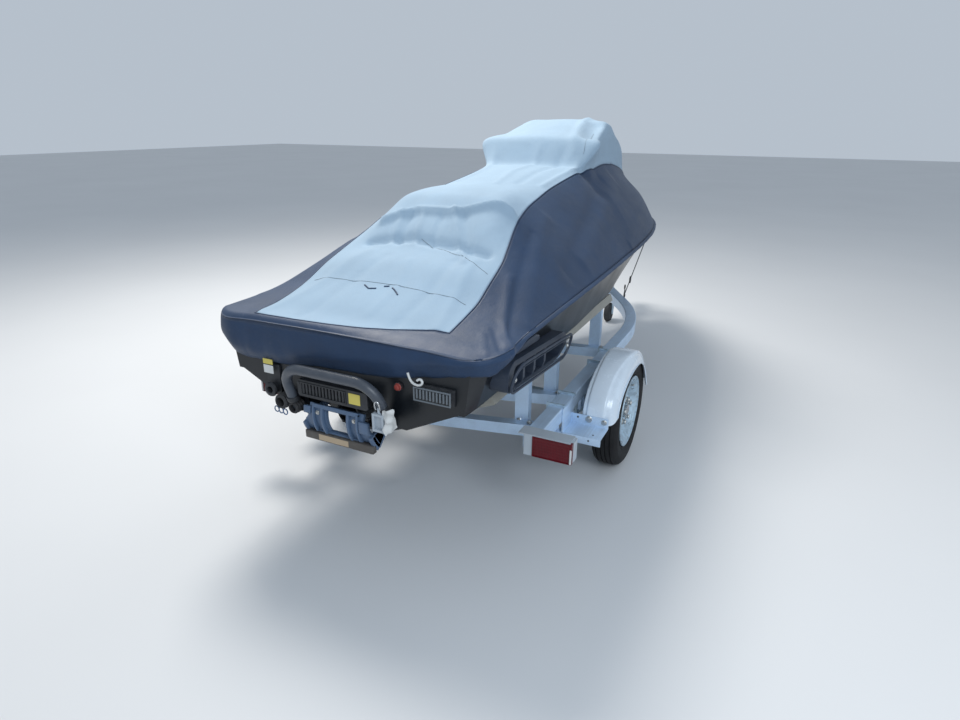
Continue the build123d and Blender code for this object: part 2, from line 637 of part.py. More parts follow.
def make_buckle():
    """Framed clip that hangs by a short rod from the step's starboard leg."""
    x, y = STEP_HALF - STEP_RADIUS, STEP_Y - BUCKLE_SETBACK
    half, tall, deep = BUCKLE_WIDTH / 2, BUCKLE_HEIGHT / 2, BUCKLE_DEPTH / 2
    buckle = block(x - half, x + half, y - deep, y + deep, BUCKLE_Z - tall, BUCKLE_Z + tall)
    buckle -= block(x - half + BUCKLE_FRAME, x + half - BUCKLE_FRAME, y - deep - 1, y,
                    BUCKLE_Z - tall + BUCKLE_FRAME, BUCKLE_Z + tall - BUCKLE_FRAME)
    buckle += rod_z(5, BUCKLE_Z + tall - 1, BUCKLE_Z + tall + 24, x, y)
    keep("stern_buckle", buckle - NODES["boarding_step"])


def make_bottom():
    """Ride plate under the tunnel and the bars over the intake."""
    front = TRANSOM_Y + TUNNEL_LENGTH
    half = TUNNEL_HALF - 1
    low = KEEL_Z - 2
    keep("ride_plate", block(-half, half, STERN_BAY_FRONT + RUN_GAP, front, low, low + PLATE_THICK))
    duct_half = TUNNEL_HALF - 2 * RUN_GAP
    pitch = 2 * duct_half / (GRATE_BARS + 1)
    end = front + INTAKE_LENGTH - 20
    grate = block(-duct_half, duct_half, front, front + 14, KEEL_Z, KEEL_Z + PLATE_THICK)
    for i in range(GRATE_BARS):
        x = -duct_half + (i + 1) * pitch
        grate += block(x - GRATE_BAR / 2, x + GRATE_BAR / 2, front, end, KEEL_Z, KEEL_Z + PLATE_THICK)
    keep("intake_grate", grate)


# Trailer frame
def rail_path(x, y0):
    turn = math.radians(BEND_ANGLE)
    bend_end = (x - BEND_RADIUS * (1 - math.cos(turn)), BEND_START + BEND_RADIUS * math.sin(turn))
    run = (bend_end[0] + TONGUE_SIZE / 2) / math.sin(turn)
    end = (bend_end[0] - run * math.sin(turn), bend_end[1] + run * math.cos(turn))
    middle = math.radians(BEND_ANGLE / 2)
    bend_mid = (x - BEND_RADIUS * (1 - math.cos(middle)), BEND_START + BEND_RADIUS * math.sin(middle))
    z = RAIL_TOP - RAIL_SIZE / 2
    place = [(px, py, z) for px, py in ((x, y0), (x, BEND_START), bend_mid, bend_end, end)]
    return Line(place[0], place[1]) + ThreePointArc(place[1], place[2], place[3]) + Line(place[3], place[4])


def make_rail():
    """Starboard rail: a box tube with one long bend in to the tongue."""
    inside = RAIL_SIZE - 2 * RAIL_WALL
    tube = RectangleRounded(RAIL_SIZE, RAIL_SIZE, 5) - Rectangle(inside, inside)
    path = rail_path(RAIL_X, RAIL_REAR)
    plane = Plane(origin=path @ 0, x_dir=(1, 0, 0), z_dir=(0, 1, 0))
    rail = sweep(plane * tube, path=path)
    reach = TONGUE_SIZE / 2
    return rail - block(-RAIL_X, reach, RAIL_REAR, NOSE_REACH, 0, 2 * RAIL_TOP)


def make_tongue():
    half = TONGUE_SIZE / 2
    wall = RAIL_WALL
    front = NOSE_REACH - COUPLER_LENGTH + 90
    tongue = block(-half, half, TONGUE_REAR, front, RAIL_BOTTOM, RAIL_TOP)
    half_bore = half - wall
    tongue -= block(-half_bore, half_bore, TONGUE_REAR - 1, front + 1, RAIL_BOTTOM + wall, RAIL_TOP - wall)
    keep("tongue", tongue)
    turn = math.radians(BEND_ANGLE)
    bend_x = RAIL_X - BEND_RADIUS * (1 - math.cos(turn))
    bend_y = BEND_START + BEND_RADIUS * math.sin(turn)
    join_y = bend_y + (bend_x - half) / math.tan(turn)
    plates = []
    for low in (RAIL_TOP, RAIL_BOTTOM - 6):
        outline = [(-150, join_y - 190), (150, join_y - 190), (60, join_y + 60), (-60, join_y + 60)]
        plate = make_face(Polyline(*[(x, y, low) for x, y in outline], close=True))
        plates.append(extrude(plate, 6, dir=(0, 0, 1)))
    keep("tongue_plates", *plates)


def make_cross_members():
    reach = RAIL_X + RAIL_SIZE / 2
    for name, y in CROSS_STATIONS:
        top = RAIL_BOTTOM
        dip = CROSS_DIP if name != "front" else CROSS_DIP / 2

        def profile(inset):
            flat = RAIL_X - RAIL_SIZE
            up = [(0, top - dip - inset), (flat, top - inset), (reach, top - inset)]
            down = [(reach, top - CROSS_HEIGHT + inset), (flat, top - CROSS_HEIGHT + inset),
                    (0, top - dip - CROSS_HEIGHT + inset)]
            right = up + down
            left = [(-x, z) for x, z in reversed(right) if x > 0]
            return right[:3] + right[3:6] + left[0:2] + left[2:]
        half = CROSS_DEPTH / 2
        outer = slab_y(y - half, y + half, profile(0))
        wall = CROSS_WALL
        inner = slab_y(y - half + wall, y + half - wall, profile(wall))
        keep("cross_member_" + name, outer - inner)


# Bunks
def make_bunk():
    """Starboard bunk board, leaned to the hull's bottom."""
    lean = math.atan2(bottom_z(BUNK_X, 0) - KEEL_Z, BUNK_X)
    half = BUNK_WIDTH / 2
    shares = [BUNK_REAR, BUNK_REAR + BUNK_LENGTH]
    faces = []
    for y in shares:
        z = bottom_z(BUNK_X, 0) - FIT
        rise = half * math.sin(lean)
        run = half * math.cos(lean)
        low_x, low_z = BUNK_THICK * math.sin(lean), BUNK_THICK * math.cos(lean)
        faces.append(face_at(y, [(BUNK_X - run, z - rise), (BUNK_X + run, z + rise),
                                 (BUNK_X + run + low_x, z + rise - low_z),
                                 (BUNK_X - run + low_x, z - rise - low_z)]))
    return loft(faces, ruled=True)


def make_bunk_brackets():
    """Starboard upright plates, bolted to the front face of each cross member, up to the bunk."""
    brackets = []
    lean = math.atan2(bottom_z(BUNK_X, 0) - KEEL_Z, BUNK_X)
    x = BUNK_X + 10
    under = bottom_z(x, 0) - 3 * FIT - BUNK_THICK / math.cos(lean)
    for _, y in CROSS_STATIONS:
        front = y + CROSS_DEPTH / 2
        low = RAIL_BOTTOM - CROSS_HEIGHT
        outline = [(x - 30, low), (x + 30, low), (x + 30, under + 30 * math.tan(lean)),
                   (x - 30, under - 30 * math.tan(lean))]
        plate = slab_y(front, front + 6, outline)
        for side in (-1, 1):
            x0, x1 = sorted((x + side * 24, x + side * 30))
            top = under + side * 27 * math.tan(lean)
            plate += block(x0, x1, front, front + 34, low, top - 4)
        brackets.append(plate)
    return brackets


# Running gear
def make_wheel():
    """Starboard wheel: tyre, dished rim and hub, revolved about the axle."""
    half = TYRE_WIDTH / 2
    rim_half = RIM_WIDTH / 2

    def ring(points):
        return ring_x(points, WHEEL_X, 0, AXLE_Z)

    bulge = RIM_RADIUS + 0.6 * (TYRE_RADIUS - RIM_RADIUS)
    tyre = ring([(-rim_half + 6, RIM_SEAT), (-half, bulge), (-half + 19, TYRE_RADIUS),
                 (half - 19, TYRE_RADIUS), (half, bulge), (rim_half - 6, RIM_SEAT)])
    well = RIM_SEAT - 22
    dish = rim_half - 44
    face = dish - RIM_WALL
    rim = ring([(-rim_half, RIM_RADIUS), (-rim_half + 6, RIM_SEAT), (-16, well), (dish - 4, well),
                (rim_half - 6, RIM_SEAT), (rim_half, RIM_RADIUS), (rim_half, RIM_RADIUS - RIM_WALL),
                (rim_half - 6 - RIM_WALL, RIM_SEAT - RIM_WALL), (dish, well - RIM_WALL),
                (dish, HUB_RADIUS - 8), (face, HUB_RADIUS - 8), (face, well - RIM_WALL),
                (-14, well - RIM_WALL),
                (-rim_half + 6, RIM_SEAT - RIM_WALL), (-rim_half, RIM_RADIUS - RIM_WALL)])
    for i in range(LUGS):
        turn = math.radians(360 / LUGS * (i + 0.5))
        rim -= rod_x(19, WHEEL_X - rim_half, WHEEL_X + rim_half, 1.62 * LUG_CIRCLE * math.sin(turn),
                     AXLE_Z + 1.62 * LUG_CIRCLE * math.cos(turn))
    hub = ring([(face, 0), (face, 72), (face - 8, 72), (face - 8, HUB_RADIUS - 4),
                (-rim_half - 8, HUB_RADIUS - 4), (-rim_half - 8, 0)])
    hub += ring([(face, 0), (face, 30), (dish + 34, 26), (dish + 38, 20), (dish + 38, 0)])
    for i in range(LUGS):
        turn = math.radians(360 / LUGS * i)
        hub += rod_x(9, WHEEL_X + dish + FIT / 8, WHEEL_X + dish + 18, LUG_CIRCLE * math.sin(turn),
                     AXLE_Z + LUG_CIRCLE * math.cos(turn))
        hub += rod_x(6, WHEEL_X + dish - 12, WHEEL_X + dish + 18, LUG_CIRCLE * math.sin(turn),
                     AXLE_Z + LUG_CIRCLE * math.cos(turn))
        rim -= rod_x(6.2, WHEEL_X - rim_half, WHEEL_X + rim_half, LUG_CIRCLE * math.sin(turn),
                     AXLE_Z + LUG_CIRCLE * math.cos(turn))
    return tyre, rim, hub


def make_axle():
    half = AXLE_SIZE / 2
    end = WHEEL_X - RIM_WIDTH / 2 - 8 - FIT
    shoulder = end - 40
    axle = block(-shoulder, shoulder, -half, half, AXLE_Z - half, AXLE_Z + half)
    for side in (-1, 1):
        x0, x1 = sorted((side * shoulder, side * end))
        axle += rod_x(18, x0, x1, 0, AXLE_Z)
    keep("axle", axle)


def make_spring():
    """Starboard leaf spring with its hangers, arched over the axle."""
    half = SPRING_WIDTH / 2
    x0, x1 = RAIL_X - half, RAIL_X + half
    low = AXLE_Z + AXLE_SIZE / 2
    spring = []
    for rise, share in ((16, 1.0), (8, 0.68), (0, 0.4)):
        z, reach, curl = low + rise, SPRING_HALF * share, LEAF_CURL * share
        top = z + LEAF_THICK
        spring.append(slab_x(x0, x1, [(-reach, z + curl), (0, z), (reach, z + curl),
                                      (reach, top + curl), (0, top), (-reach, top + curl)]))
    spring = spring[0] + spring[1] + spring[2]
    eye_z = low + 32
    for y in (-SPRING_HALF, SPRING_HALF):
        spring += rod_x(13, x0, x1, y, eye_z)
        hanger = [(y - 30, RAIL_BOTTOM), (y + 30, RAIL_BOTTOM), (y + 14, eye_z - 14), (y - 14, eye_z - 14)]
        spring += slab_x(x0 - 6, x0, hanger) + slab_x(x1, x1 + 6, hanger)
    plate_z = AXLE_Z - AXLE_SIZE / 2
    spring += block(RAIL_X - 40, RAIL_X + 40, -40, 40, plate_z - 8, plate_z)
    spring += block(RAIL_X - 40, RAIL_X + 40, -40, 40, low + 24, low + 32)
    for x in (RAIL_X - 32, RAIL_X + 32):
        for y in (-30, 30):
            spring += rod_z(6, plate_z - 8, low + 36, x, y)
    return spring


# Fenders
def fender_profile(offset):
    top_y = (FENDER_FRONT + FENDER_REAR) / 2 + 20
    a = (FENDER_REAR + offset, FENDER_FOOT)
    b = (FENDER_REAR * 0.72, FENDER_FOOT + 0.62 * (FENDER_TOP - FENDER_FOOT) - offset)
    c = (top_y, FENDER_TOP - offset)
    d = (FENDER_FRONT - offset, FENDER_FOOT)
    return a, b, c, d


def fender_arch(x0, x1, offset):
    """A solid arch under the fender's side profile, set in from it by an offset."""
    a, b, c, d = fender_profile(offset)
    up = ThreePointArc((x0, *a), (x0, *b), (x0, *c))
    mid_y = (c[0] + d[0]) / 2 + 0.21 * (d[0] - c[0])
    down = ThreePointArc((x0, *c), (x0, mid_y, c[1] - 0.3 * (c[1] - d[1])), (x0, *d))
    return extrude(make_face([up, down, Line((x0, *d), (x0, *a))]), x1 - x0, dir=(1, 0, 0))


def make_fender():
    """Starboard fender: an arched shell over the wheel with two long ribs and an outer skirt."""
    skirt = FENDER_OUTER - 2 * FENDER_WALL
    shell = fender_arch(FENDER_INNER, FENDER_OUTER, 0)
    for x in FENDER_RIBS:
        shell += fender_arch(x, x + FENDER_RIB_WIDTH, -FENDER_RIB_RISE)
    shell -= fender_arch(FENDER_INNER - 1, FENDER_OUTER - FENDER_WALL, FENDER_WALL)
    shell -= rod_x(TYRE_RADIUS + 22, skirt, FENDER_OUTER + 1, -10, AXLE_Z)
    shell -= block(skirt, FENDER_OUTER + 1, -TYRE_RADIUS, FENDER_FRONT - 20, 0, AXLE_Z + 80)
    return shell - make_fender_brackets()[0]


def make_fender_brackets():
    """Starboard fender brackets: a flanged shelf behind the wheel and a plate ahead of it."""
    inner = RAIL_X + RAIL_SIZE / 2
    shelf, ahead = FENDER_OUTER - 50, BRACKET_REAR + BRACKET_LENGTH
    rear = block(inner, shelf, BRACKET_REAR, ahead, RAIL_BOTTOM - 6, RAIL_BOTTOM)
    rear += block(inner, shelf, BRACKET_REAR, BRACKET_REAR + 6, RAIL_BOTTOM - 50, RAIL_BOTTOM)
    rear += block(inner, FENDER_INNER, BRACKET_REAR, ahead, RAIL_BOTTOM - 6, RAIL_TOP)
    front = block(inner, FENDER_INNER, 80, 262, RAIL_BOTTOM - 6, RAIL_TOP)
    return [rear, front]


def make_rail_clamps():
    """Square bolts round the starboard rail: at each fender bracket and each cross member."""
    clamps = []
    half = RAIL_SIZE / 2 + FIT
    for y in CLAMP_STATIONS:
        outer = block(RAIL_X - half - 10, RAIL_X + half + 5, y - 5, y + 5, RAIL_BOTTOM - 10, RAIL_TOP + 10)
        clamps.append(outer - block(RAIL_X - half, RAIL_X + half + 11, y - 6, y + 6,
                                    RAIL_BOTTOM - 11, RAIL_TOP + FIT))
    return clamps


# Lamps
def make_lamp():
    """Starboard tail lamp: housing and lens under an angle bracket on the rail's end."""
    x0 = RAIL_X - LAMP_INBOARD
    rear = RAIL_REAR - LENS_DEPTH
    low = RAIL_TOP - LAMP_HEIGHT
    housing = block(x0, x0 + LAMP_WIDTH, RAIL_REAR, rear + LAMP_DEPTH, low, RAIL_TOP)
    housing -= block(x0 - 1, RAIL_X + RAIL_SIZE / 2 + FIT, RAIL_REAR, RAIL_REAR + LAMP_DEPTH, 0, 2 * RAIL_TOP)
    housing += block(x0, x0 + LENS_INSET, rear, RAIL_REAR, low, RAIL_TOP)
    lens = block(x0 + LENS_INSET, x0 + LAMP_WIDTH, rear, RAIL_REAR, low, RAIL_TOP)
    x1, x2 = (RAIL_X + end for end in LAMP_ANGLE)
    bracket = block(x1, x2, rear, rear + LAMP_DEPTH, RAIL_TOP, RAIL_TOP + 5)
    return housing, lens, bracket


# Bow end
def make_bow_end():
    half = POST_SIZE / 2
    post = block(-half, half, POST_Y - half, POST_Y + half, RAIL_TOP, POST_TOP)
    post -= block(-half + 4, half - 4, POST_Y - half + 4, POST_Y + half - 4, RAIL_TOP - 1, POST_TOP + 1)
    post += block(-58, 58, POST_Y - 60, POST_Y + 60, RAIL_TOP, RAIL_TOP + 8)
    keep("winch_post", post)
    winch_z = POST_TOP - 150
    front = POST_Y + half
    winch = block(-46, -40, front, front + 110, winch_z - 45, winch_z + 60)
    winch += block(40, 46, front, front + 110, winch_z - 45, winch_z + 60)
    winch += block(-46, 46, front, front + 6, winch_z - 45, winch_z + 60)
    winch += rod_x(34, -40, 40, front + 62, winch_z + 10)
    winch += rod_x(8, -46, 90, front + 62, winch_z + 40)
    winch += block(84, 92, front + 54, front + 70, winch_z - 120, winch_z + 48)
    winch += rod_x(13, 92, 170, front + 62, winch_z - 110)
    keep("winch", winch)
    arm = block(-30, 30, STOP_Y + 30, POST_Y - half, POST_TOP - 70, POST_TOP - 20)
    vee = slab_x(-34, 34, [(STOP_Y, POST_TOP - 78), (STOP_Y + 30, POST_TOP - 85), (STOP_Y + 30, POST_TOP + 5),
                           (STOP_Y, POST_TOP - 5)])
    keep("bow_stop", arm + vee)


def make_coupler():
    half = COUPLER_WIDTH / 2
    rear = NOSE_REACH - COUPLER_LENGTH
    ball_y = NOSE_REACH - half
    seat = RAIL_TOP - 30
    shell = block(-half, half, rear, ball_y, RAIL_TOP - COUPLER_HEIGHT, RAIL_TOP + 14)
    shell += rod_z(half, RAIL_TOP - COUPLER_HEIGHT, RAIL_TOP + 14, 0, ball_y)
    tongue_half = TONGUE_SIZE / 2
    shell -= block(-tongue_half, tongue_half, rear - 1, rear + 90, 0, RAIL_TOP)
    shell -= rod_z(BALL_RADIUS, 0, seat, 0, ball_y)
    shell -= Pos(0, ball_y, seat) * Sphere(BALL_RADIUS)
    latch = block(-9, 9, rear + 30, ball_y - 10, RAIL_TOP + 14, RAIL_TOP + 34)
    keep("coupler", shell + latch)


def make_jack():
    top = RAIL_TOP + JACK_TOP
    low = RAIL_BOTTOM - 10
    tube = rod_z(JACK_TUBE, low, top, JACK_X, JACK_Y)
    tube -= rod_z(JACK_TUBE - JACK_WALL, low - 1, top - 8, JACK_X, JACK_Y)
    half = TONGUE_SIZE / 2
    tube += block(half, half + 8, JACK_Y - 60, JACK_Y + 60, RAIL_BOTTOM, RAIL_TOP)
    tube += block(half + 8, JACK_X - JACK_TUBE + 2, JACK_Y - 14, JACK_Y + 14, RAIL_BOTTOM + 6, RAIL_TOP - 6)
    tube += rod_z(7, top, top + 26, JACK_X, JACK_Y)
    tube += rod_y(7, JACK_Y - 10, JACK_Y + 120, JACK_X, top + 24)
    tube += rod_z(11, top + 24, top + 100, JACK_X, JACK_Y + 112)
    keep("jack_tube", tube)
    axle_z = JACK_WHEEL_RADIUS
    fork_top = 2 * JACK_WHEEL_RADIUS + 10
    leg_low = fork_top + 12
    keep("jack_leg", rod_z(JACK_LEG, leg_low, low + 180, JACK_X, JACK_Y))
    gap = JACK_WHEEL_WIDTH / 2 + 5
    trail = JACK_Y - 38
    fork = block(JACK_X - gap - 5, JACK_X + gap + 5, trail - 18, JACK_Y + 22, fork_top, fork_top + 8)
    for side in (-1, 1):
        x0, x1 = sorted((JACK_X + side * gap, JACK_X + side * (gap + 5)))
        fork += slab_x(x0, x1, [(trail - 16, axle_z - 14), (trail + 16, axle_z - 14), (JACK_Y + 22, fork_top),
                                (trail - 18, fork_top)])
    fork += rod_x(6, JACK_X - gap - 8, JACK_X + gap + 8, trail, axle_z)
    fork += rod_z(14, fork_top + 8, leg_low - FIT, JACK_X, JACK_Y)
    keep("jack_fork", fork)
    side, edge = JACK_WHEEL_WIDTH / 2, JACK_WHEEL_RADIUS - 9
    keep("jack_wheel", ring_x([(-side, 6.5), (-side, edge), (9 - side, JACK_WHEEL_RADIUS),
                               (side - 9, JACK_WHEEL_RADIUS), (side, edge), (side, 6.5)],
                              JACK_X, trail, axle_z))


def rail_centre_x(y):
    """Half width of the starboard rail's centre line, ahead of the straight part."""
    turn = math.radians(BEND_ANGLE)
    bend_y = BEND_START + BEND_RADIUS * math.sin(turn)
    if y < bend_y:
        return RAIL_X - BEND_RADIUS + math.sqrt(BEND_RADIUS ** 2 - (y - BEND_START) ** 2)
    return RAIL_X - BEND_RADIUS * (1 - math.cos(turn)) - (y - bend_y) * math.tan(turn)


def make_tie_strap():
    """Starboard strap, taut from the cover's hem down to the rail's outer edge."""
    hem_x, hem_z = hem_at(share_at(STRAP_Y))
    outer = RAIL_SIZE / 2 / math.cos(math.radians(BEND_ANGLE))
    top = Vector(hem_x + COVER_STANDOFF / 2, STRAP_Y, hem_z - 1)
    foot = Vector(rail_centre_x(STRAP_Y) + outer + 6, STRAP_Y, RAIL_TOP - RAIL_SIZE / 2)
    down = foot - top
    plane = Plane(origin=top, x_dir=(0, 1, 0), z_dir=down)
    return plane * extrude(Rectangle(STRAP_WIDTH, 3), down.length)


make_hull()
make_engine()
make_cover()
sponson = make_sponson()
keep("sponson_starboard", sponson)
keep("sponson_port", mirrored(sponson))
make_drive()
make_gate()
keep("pivot_lugs", *make_pivot_pins())
make_step()
make_stern()
make_outlet()
make_buckle()
make_bottom()
rail = make_rail()
keep("rail_starboard", rail)
keep("rail_port", mirrored(rail))
make_tongue()
make_cross_members()
bunk = make_bunk()
keep("bunk_starboard", bunk)
keep("bunk_port", mirrored(bunk))
keep("bunk_brackets", *pairs(make_bunk_brackets()))
keep("rail_clamps", *pairs(make_rail_clamps()))
keep("fender_brackets", *pairs(make_fender_brackets()))
keep("leaf_springs", *pairs([make_spring()]))
keep("tie_straps", *pairs([make_tie_strap()]))
for side_name, flip in (("starboard", lambda s: s), ("port", mirrored)):
    tyre, rim, hub = make_wheel()
    keep("tyre_" + side_name, flip(tyre))
    keep("rim_" + side_name, flip(rim))
    keep("hub_" + side_name, flip(hub))
    keep("fender_" + side_name, flip(make_fender()))
    housing, lens, bracket = make_lamp()
    keep("lamp_housing_" + side_name, flip(housing + bracket))
    keep("lamp_lens_" + side_name, flip(lens))
make_axle()
make_bow_end()
make_coupler()
make_jack()

os.makedirs("parts", exist_ok=True)
for name, shape in NODES.items():
    export_step(Pos(0, AXLE_Y, 0) * shape, "parts/" + name + ".step")
print(len(NODES), "pieces, moved by", AXLE_Y)
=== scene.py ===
"""Looks of a personal watercraft that is parked on its trailer under a two-tone storage cover.

Places are metres in the axle frame (origin on the ground under the axle, +X starboard, +Y bow)
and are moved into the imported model's frame by `at`.
"""
from __future__ import annotations

import json
import logging
import math
from contextlib import contextmanager
from dataclasses import dataclass
from enum import Enum
from typing import Iterable, Iterator, Sequence

import bpy
from mathutils import Matrix, Vector


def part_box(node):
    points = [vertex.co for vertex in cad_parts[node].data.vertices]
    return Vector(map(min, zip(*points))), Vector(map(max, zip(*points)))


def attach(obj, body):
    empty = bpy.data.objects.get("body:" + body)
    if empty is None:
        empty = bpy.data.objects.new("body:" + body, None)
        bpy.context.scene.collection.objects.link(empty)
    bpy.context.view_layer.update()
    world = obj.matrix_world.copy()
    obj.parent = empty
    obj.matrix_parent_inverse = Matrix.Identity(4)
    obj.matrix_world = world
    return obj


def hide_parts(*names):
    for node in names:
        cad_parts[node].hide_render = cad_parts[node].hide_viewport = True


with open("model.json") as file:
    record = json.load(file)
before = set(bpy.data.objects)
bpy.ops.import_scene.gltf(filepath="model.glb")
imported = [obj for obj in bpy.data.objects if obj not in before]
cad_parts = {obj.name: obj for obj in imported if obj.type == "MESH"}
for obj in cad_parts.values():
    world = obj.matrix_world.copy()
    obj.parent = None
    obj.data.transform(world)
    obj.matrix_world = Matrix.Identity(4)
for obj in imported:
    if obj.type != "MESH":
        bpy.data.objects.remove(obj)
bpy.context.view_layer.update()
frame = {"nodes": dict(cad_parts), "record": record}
LOG = logging.getLogger("scene")
_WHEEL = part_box("tyre_starboard")
AXLE_Y = (_WHEEL[0].y + _WHEEL[1].y) / 2
Point = tuple[float, float, float]


def at(x: float, y: float, z: float) -> Vector:
    """Gives the model-frame place of a point of the axle frame."""
    return Vector((x, y + AXLE_Y, z))


# Shaders


class Link:
    """An output socket that takes arithmetic, so that a pattern reads as a formula."""

    def __init__(self, shader: "Shader", socket: bpy.types.NodeSocket) -> None:
        """Wraps one socket of a shader."""
        self.shader = shader
        self.socket = socket

    def _do(self, kind: str, a: "Value", b: "Value") -> "Link":
        """Adds one Math node."""
        return self.shader.node("ShaderNodeMath", {"operation": kind}, [a, b])

    def __add__(self, other: "Value") -> "Link":
        """Sum."""
        return self._do("ADD", self, other)

    def __radd__(self, other: "Value") -> "Link":
        """Sum."""
        return self._do("ADD", other, self)

    def __mul__(self, other: "Value") -> "Link":
        """Product."""
        return self._do("MULTIPLY", self, other)

    def __rmul__(self, other: "Value") -> "Link":
        """Product."""
        return self._do("MULTIPLY", other, self)

    def sine(self) -> "Link":
        """Sine of a value in radians."""
        return self._do("SINE", self, 0.0)

    def wave(self, period: float) -> "Link":
        """Gives a wave from nought to one with a period in metres."""
        return (self * (2 * math.pi / period)).sine() * 0.5 + 0.5


Value = float | Link
Colour = tuple[float, float, float]


def rgba(colour: Colour, shade: float = 1.0, dust: float = 0.0) -> tuple[float, float, float, float]:
    """Gives a colour with its alpha, made darker or lighter, and pale with dust."""
    return (colour[0] * shade + dust, colour[1] * shade + dust, colour[2] * shade + dust, 1.0)


class Shader:
    """One material and its Principled surface."""

    def __init__(self, name: str, constants: dict[str, object]) -> None:
        """Starts a material.

        Args:
            name: material's name.
            constants: unvarying inputs of the Principled surface.
        """
        self.material = bpy.data.materials.new(name)
        self.material.use_nodes = True
        self.tree = self.material.node_tree
        self.surface = self.tree.nodes["Principled BSDF"]
        for key, value in constants.items():
            self.surface.inputs[key].default_value = value

    def node(self, kind: str, settings: dict[str, object] | None = None,
             inputs: Sequence[object] | dict[object, object] = (), output: int | str = 0) -> Link:
        """Adds a node.

        Args:
            kind: node type.
            settings: node properties; "stops" sets a colour ramp.
            inputs: values or links by place or by name; None leaves one alone.
            output: the output that is wanted.

        Returns:
            The wanted output.
        """
        made = self.tree.nodes.new(kind)
        for key, value in (settings or {}).items():
            if key == "stops":
                ramp = made.color_ramp
                while len(ramp.elements) < len(value):
                    ramp.elements.new(0.5)
                for element, (place, colour) in zip(ramp.elements, value):
                    element.position, element.color = place, colour
            else:
                setattr(made, key, value)
        pairs = inputs.items() if isinstance(inputs, dict) else enumerate(inputs)
        for key, value in pairs:
            if isinstance(value, Link):
                self.tree.links.new(value.socket, made.inputs[key])
            elif value is not None:
                made.inputs[key].default_value = value
        return Link(self, made.outputs[output])

    def place(self, scale: Point = (1, 1, 1), turn: Point = (0, 0, 0), uv: bool = False) -> Link:
        """Gives object or UV coordinates, turned and scaled."""
        source = self.node("ShaderNodeTexCoord", output="UV" if uv else "Object")
        return self.node("ShaderNodeMapping", None, {"Vector": source, "Scale": scale, "Rotation": turn})

    def noise(self, where: Link, scale: float, detail: float = 3.0, rough: float = 0.5) -> Link:
        """Gives a fractal noise from nought to one."""
        return self.node("ShaderNodeTexNoise", None,
                         {"Vector": where, "Scale": scale, "Detail": detail, "Roughness": rough})

    def spread(self, value: Link, low: float, high: float, to: tuple[float, float]) -> Link:
        """Maps a range to another and clamps it."""
        return self.node("ShaderNodeMapRange", None, [value, low, high, to[0], to[1]])

    def blend(self, factor: Value, a: object, b: object) -> Link:
        """Mixes two colours."""
        return self.node("ShaderNodeMix", {"data_type": "RGBA"}, {0: factor, 6: a, 7: b}, 2)

    def tones(self, factor: Value, colour: Colour, low: float, high: float) -> Link:
        """Mixes two shades of one colour."""
        return self.blend(factor, rgba(colour, low), rgba(colour, high))

    def axes(self, where: Link) -> tuple[Link, Link, Link]:
        """Splits a place into its three numbers."""
        first = self.node("ShaderNodeSeparateXYZ", None, [where])
        outputs = first.socket.node.outputs
        return first, Link(self, outputs[1]), Link(self, outputs[2])

    def feed(self, **links: Link) -> None:
        """Feeds varying values to the surface by name, with _ for a space."""
        for key, link in links.items():
            self.tree.links.new(link.socket, self.surface.inputs[key.replace("_", " ")])

    def bump(self, height: Link, depth: float, strength: float = 1.0) -> None:
        """Feeds a height to the surface as relief.

        Args:
            height: height from nought to one.
            depth: depth in metres.
            strength: share of the relief that is used.
        """
        self.feed(Normal=self.node("ShaderNodeBump", None,
                                   {"Strength": strength, "Distance": depth, "Height": height}))


class Grain(Enum):
    """Surface pattern of a metal."""

    BRUSHED = "brushed"
    SPANGLE = "spangle"
    CAST = "cast"


@dataclass(frozen=True)
class Canvas:
    """Woven cover cloth with a flat UV map in metres."""

    name: str
    colour: Colour
    rough: float
    sheen: float
    mottle: float
    thread: float = 0.0016

    def build(self) -> bpy.types.Material:
        """Makes the material."""
        shader = Shader(self.name, {"Sheen Weight": self.sheen, "Sheen Roughness": 0.5,
                                    "Specular IOR Level": 0.35})
        across, along, _ = shader.axes(shader.place(uv=True))
        turns = 2 * math.pi / self.thread
        weave = (across * turns).sine() * (along * turns).sine() * 0.5 + 0.5
        cloud = shader.noise(shader.place(), 3.2, 4, 0.6)
        patch = shader.noise(shader.place(scale=(1, 0.55, 1)), 14, 5, 0.62)
        slub = shader.noise(shader.place(scale=(90, 900, 1), uv=True), 1.0, 2)
        tone = shader.spread(cloud * 0.6 + patch * 0.4, 0.3, 0.7, (0.0, 1.0))
        base = shader.tones(tone, self.colour, 1 - self.mottle, 1 + self.mottle * 0.7)
        dust = shader.spread(shader.noise(shader.place(), 46, 6, 0.7), 0.62, 0.78, (0.0, 0.22))
        base = shader.blend(dust, base, rgba(self.colour, 0.5, 0.2))
        crumple = shader.noise(shader.place(scale=(1.0, 0.6, 1.0)), 22, 3, 0.55)
        shader.feed(Base_Color=shader.blend(slub * 0.12, base, rgba(self.colour, 0.82)),
                    Roughness=shader.spread(patch, 0.2, 0.8, (self.rough - 0.06, self.rough + 0.08)))
        shader.bump(weave * 0.06 + slub * 0.05 + crumple, 0.0045, 0.42)
        return shader.material


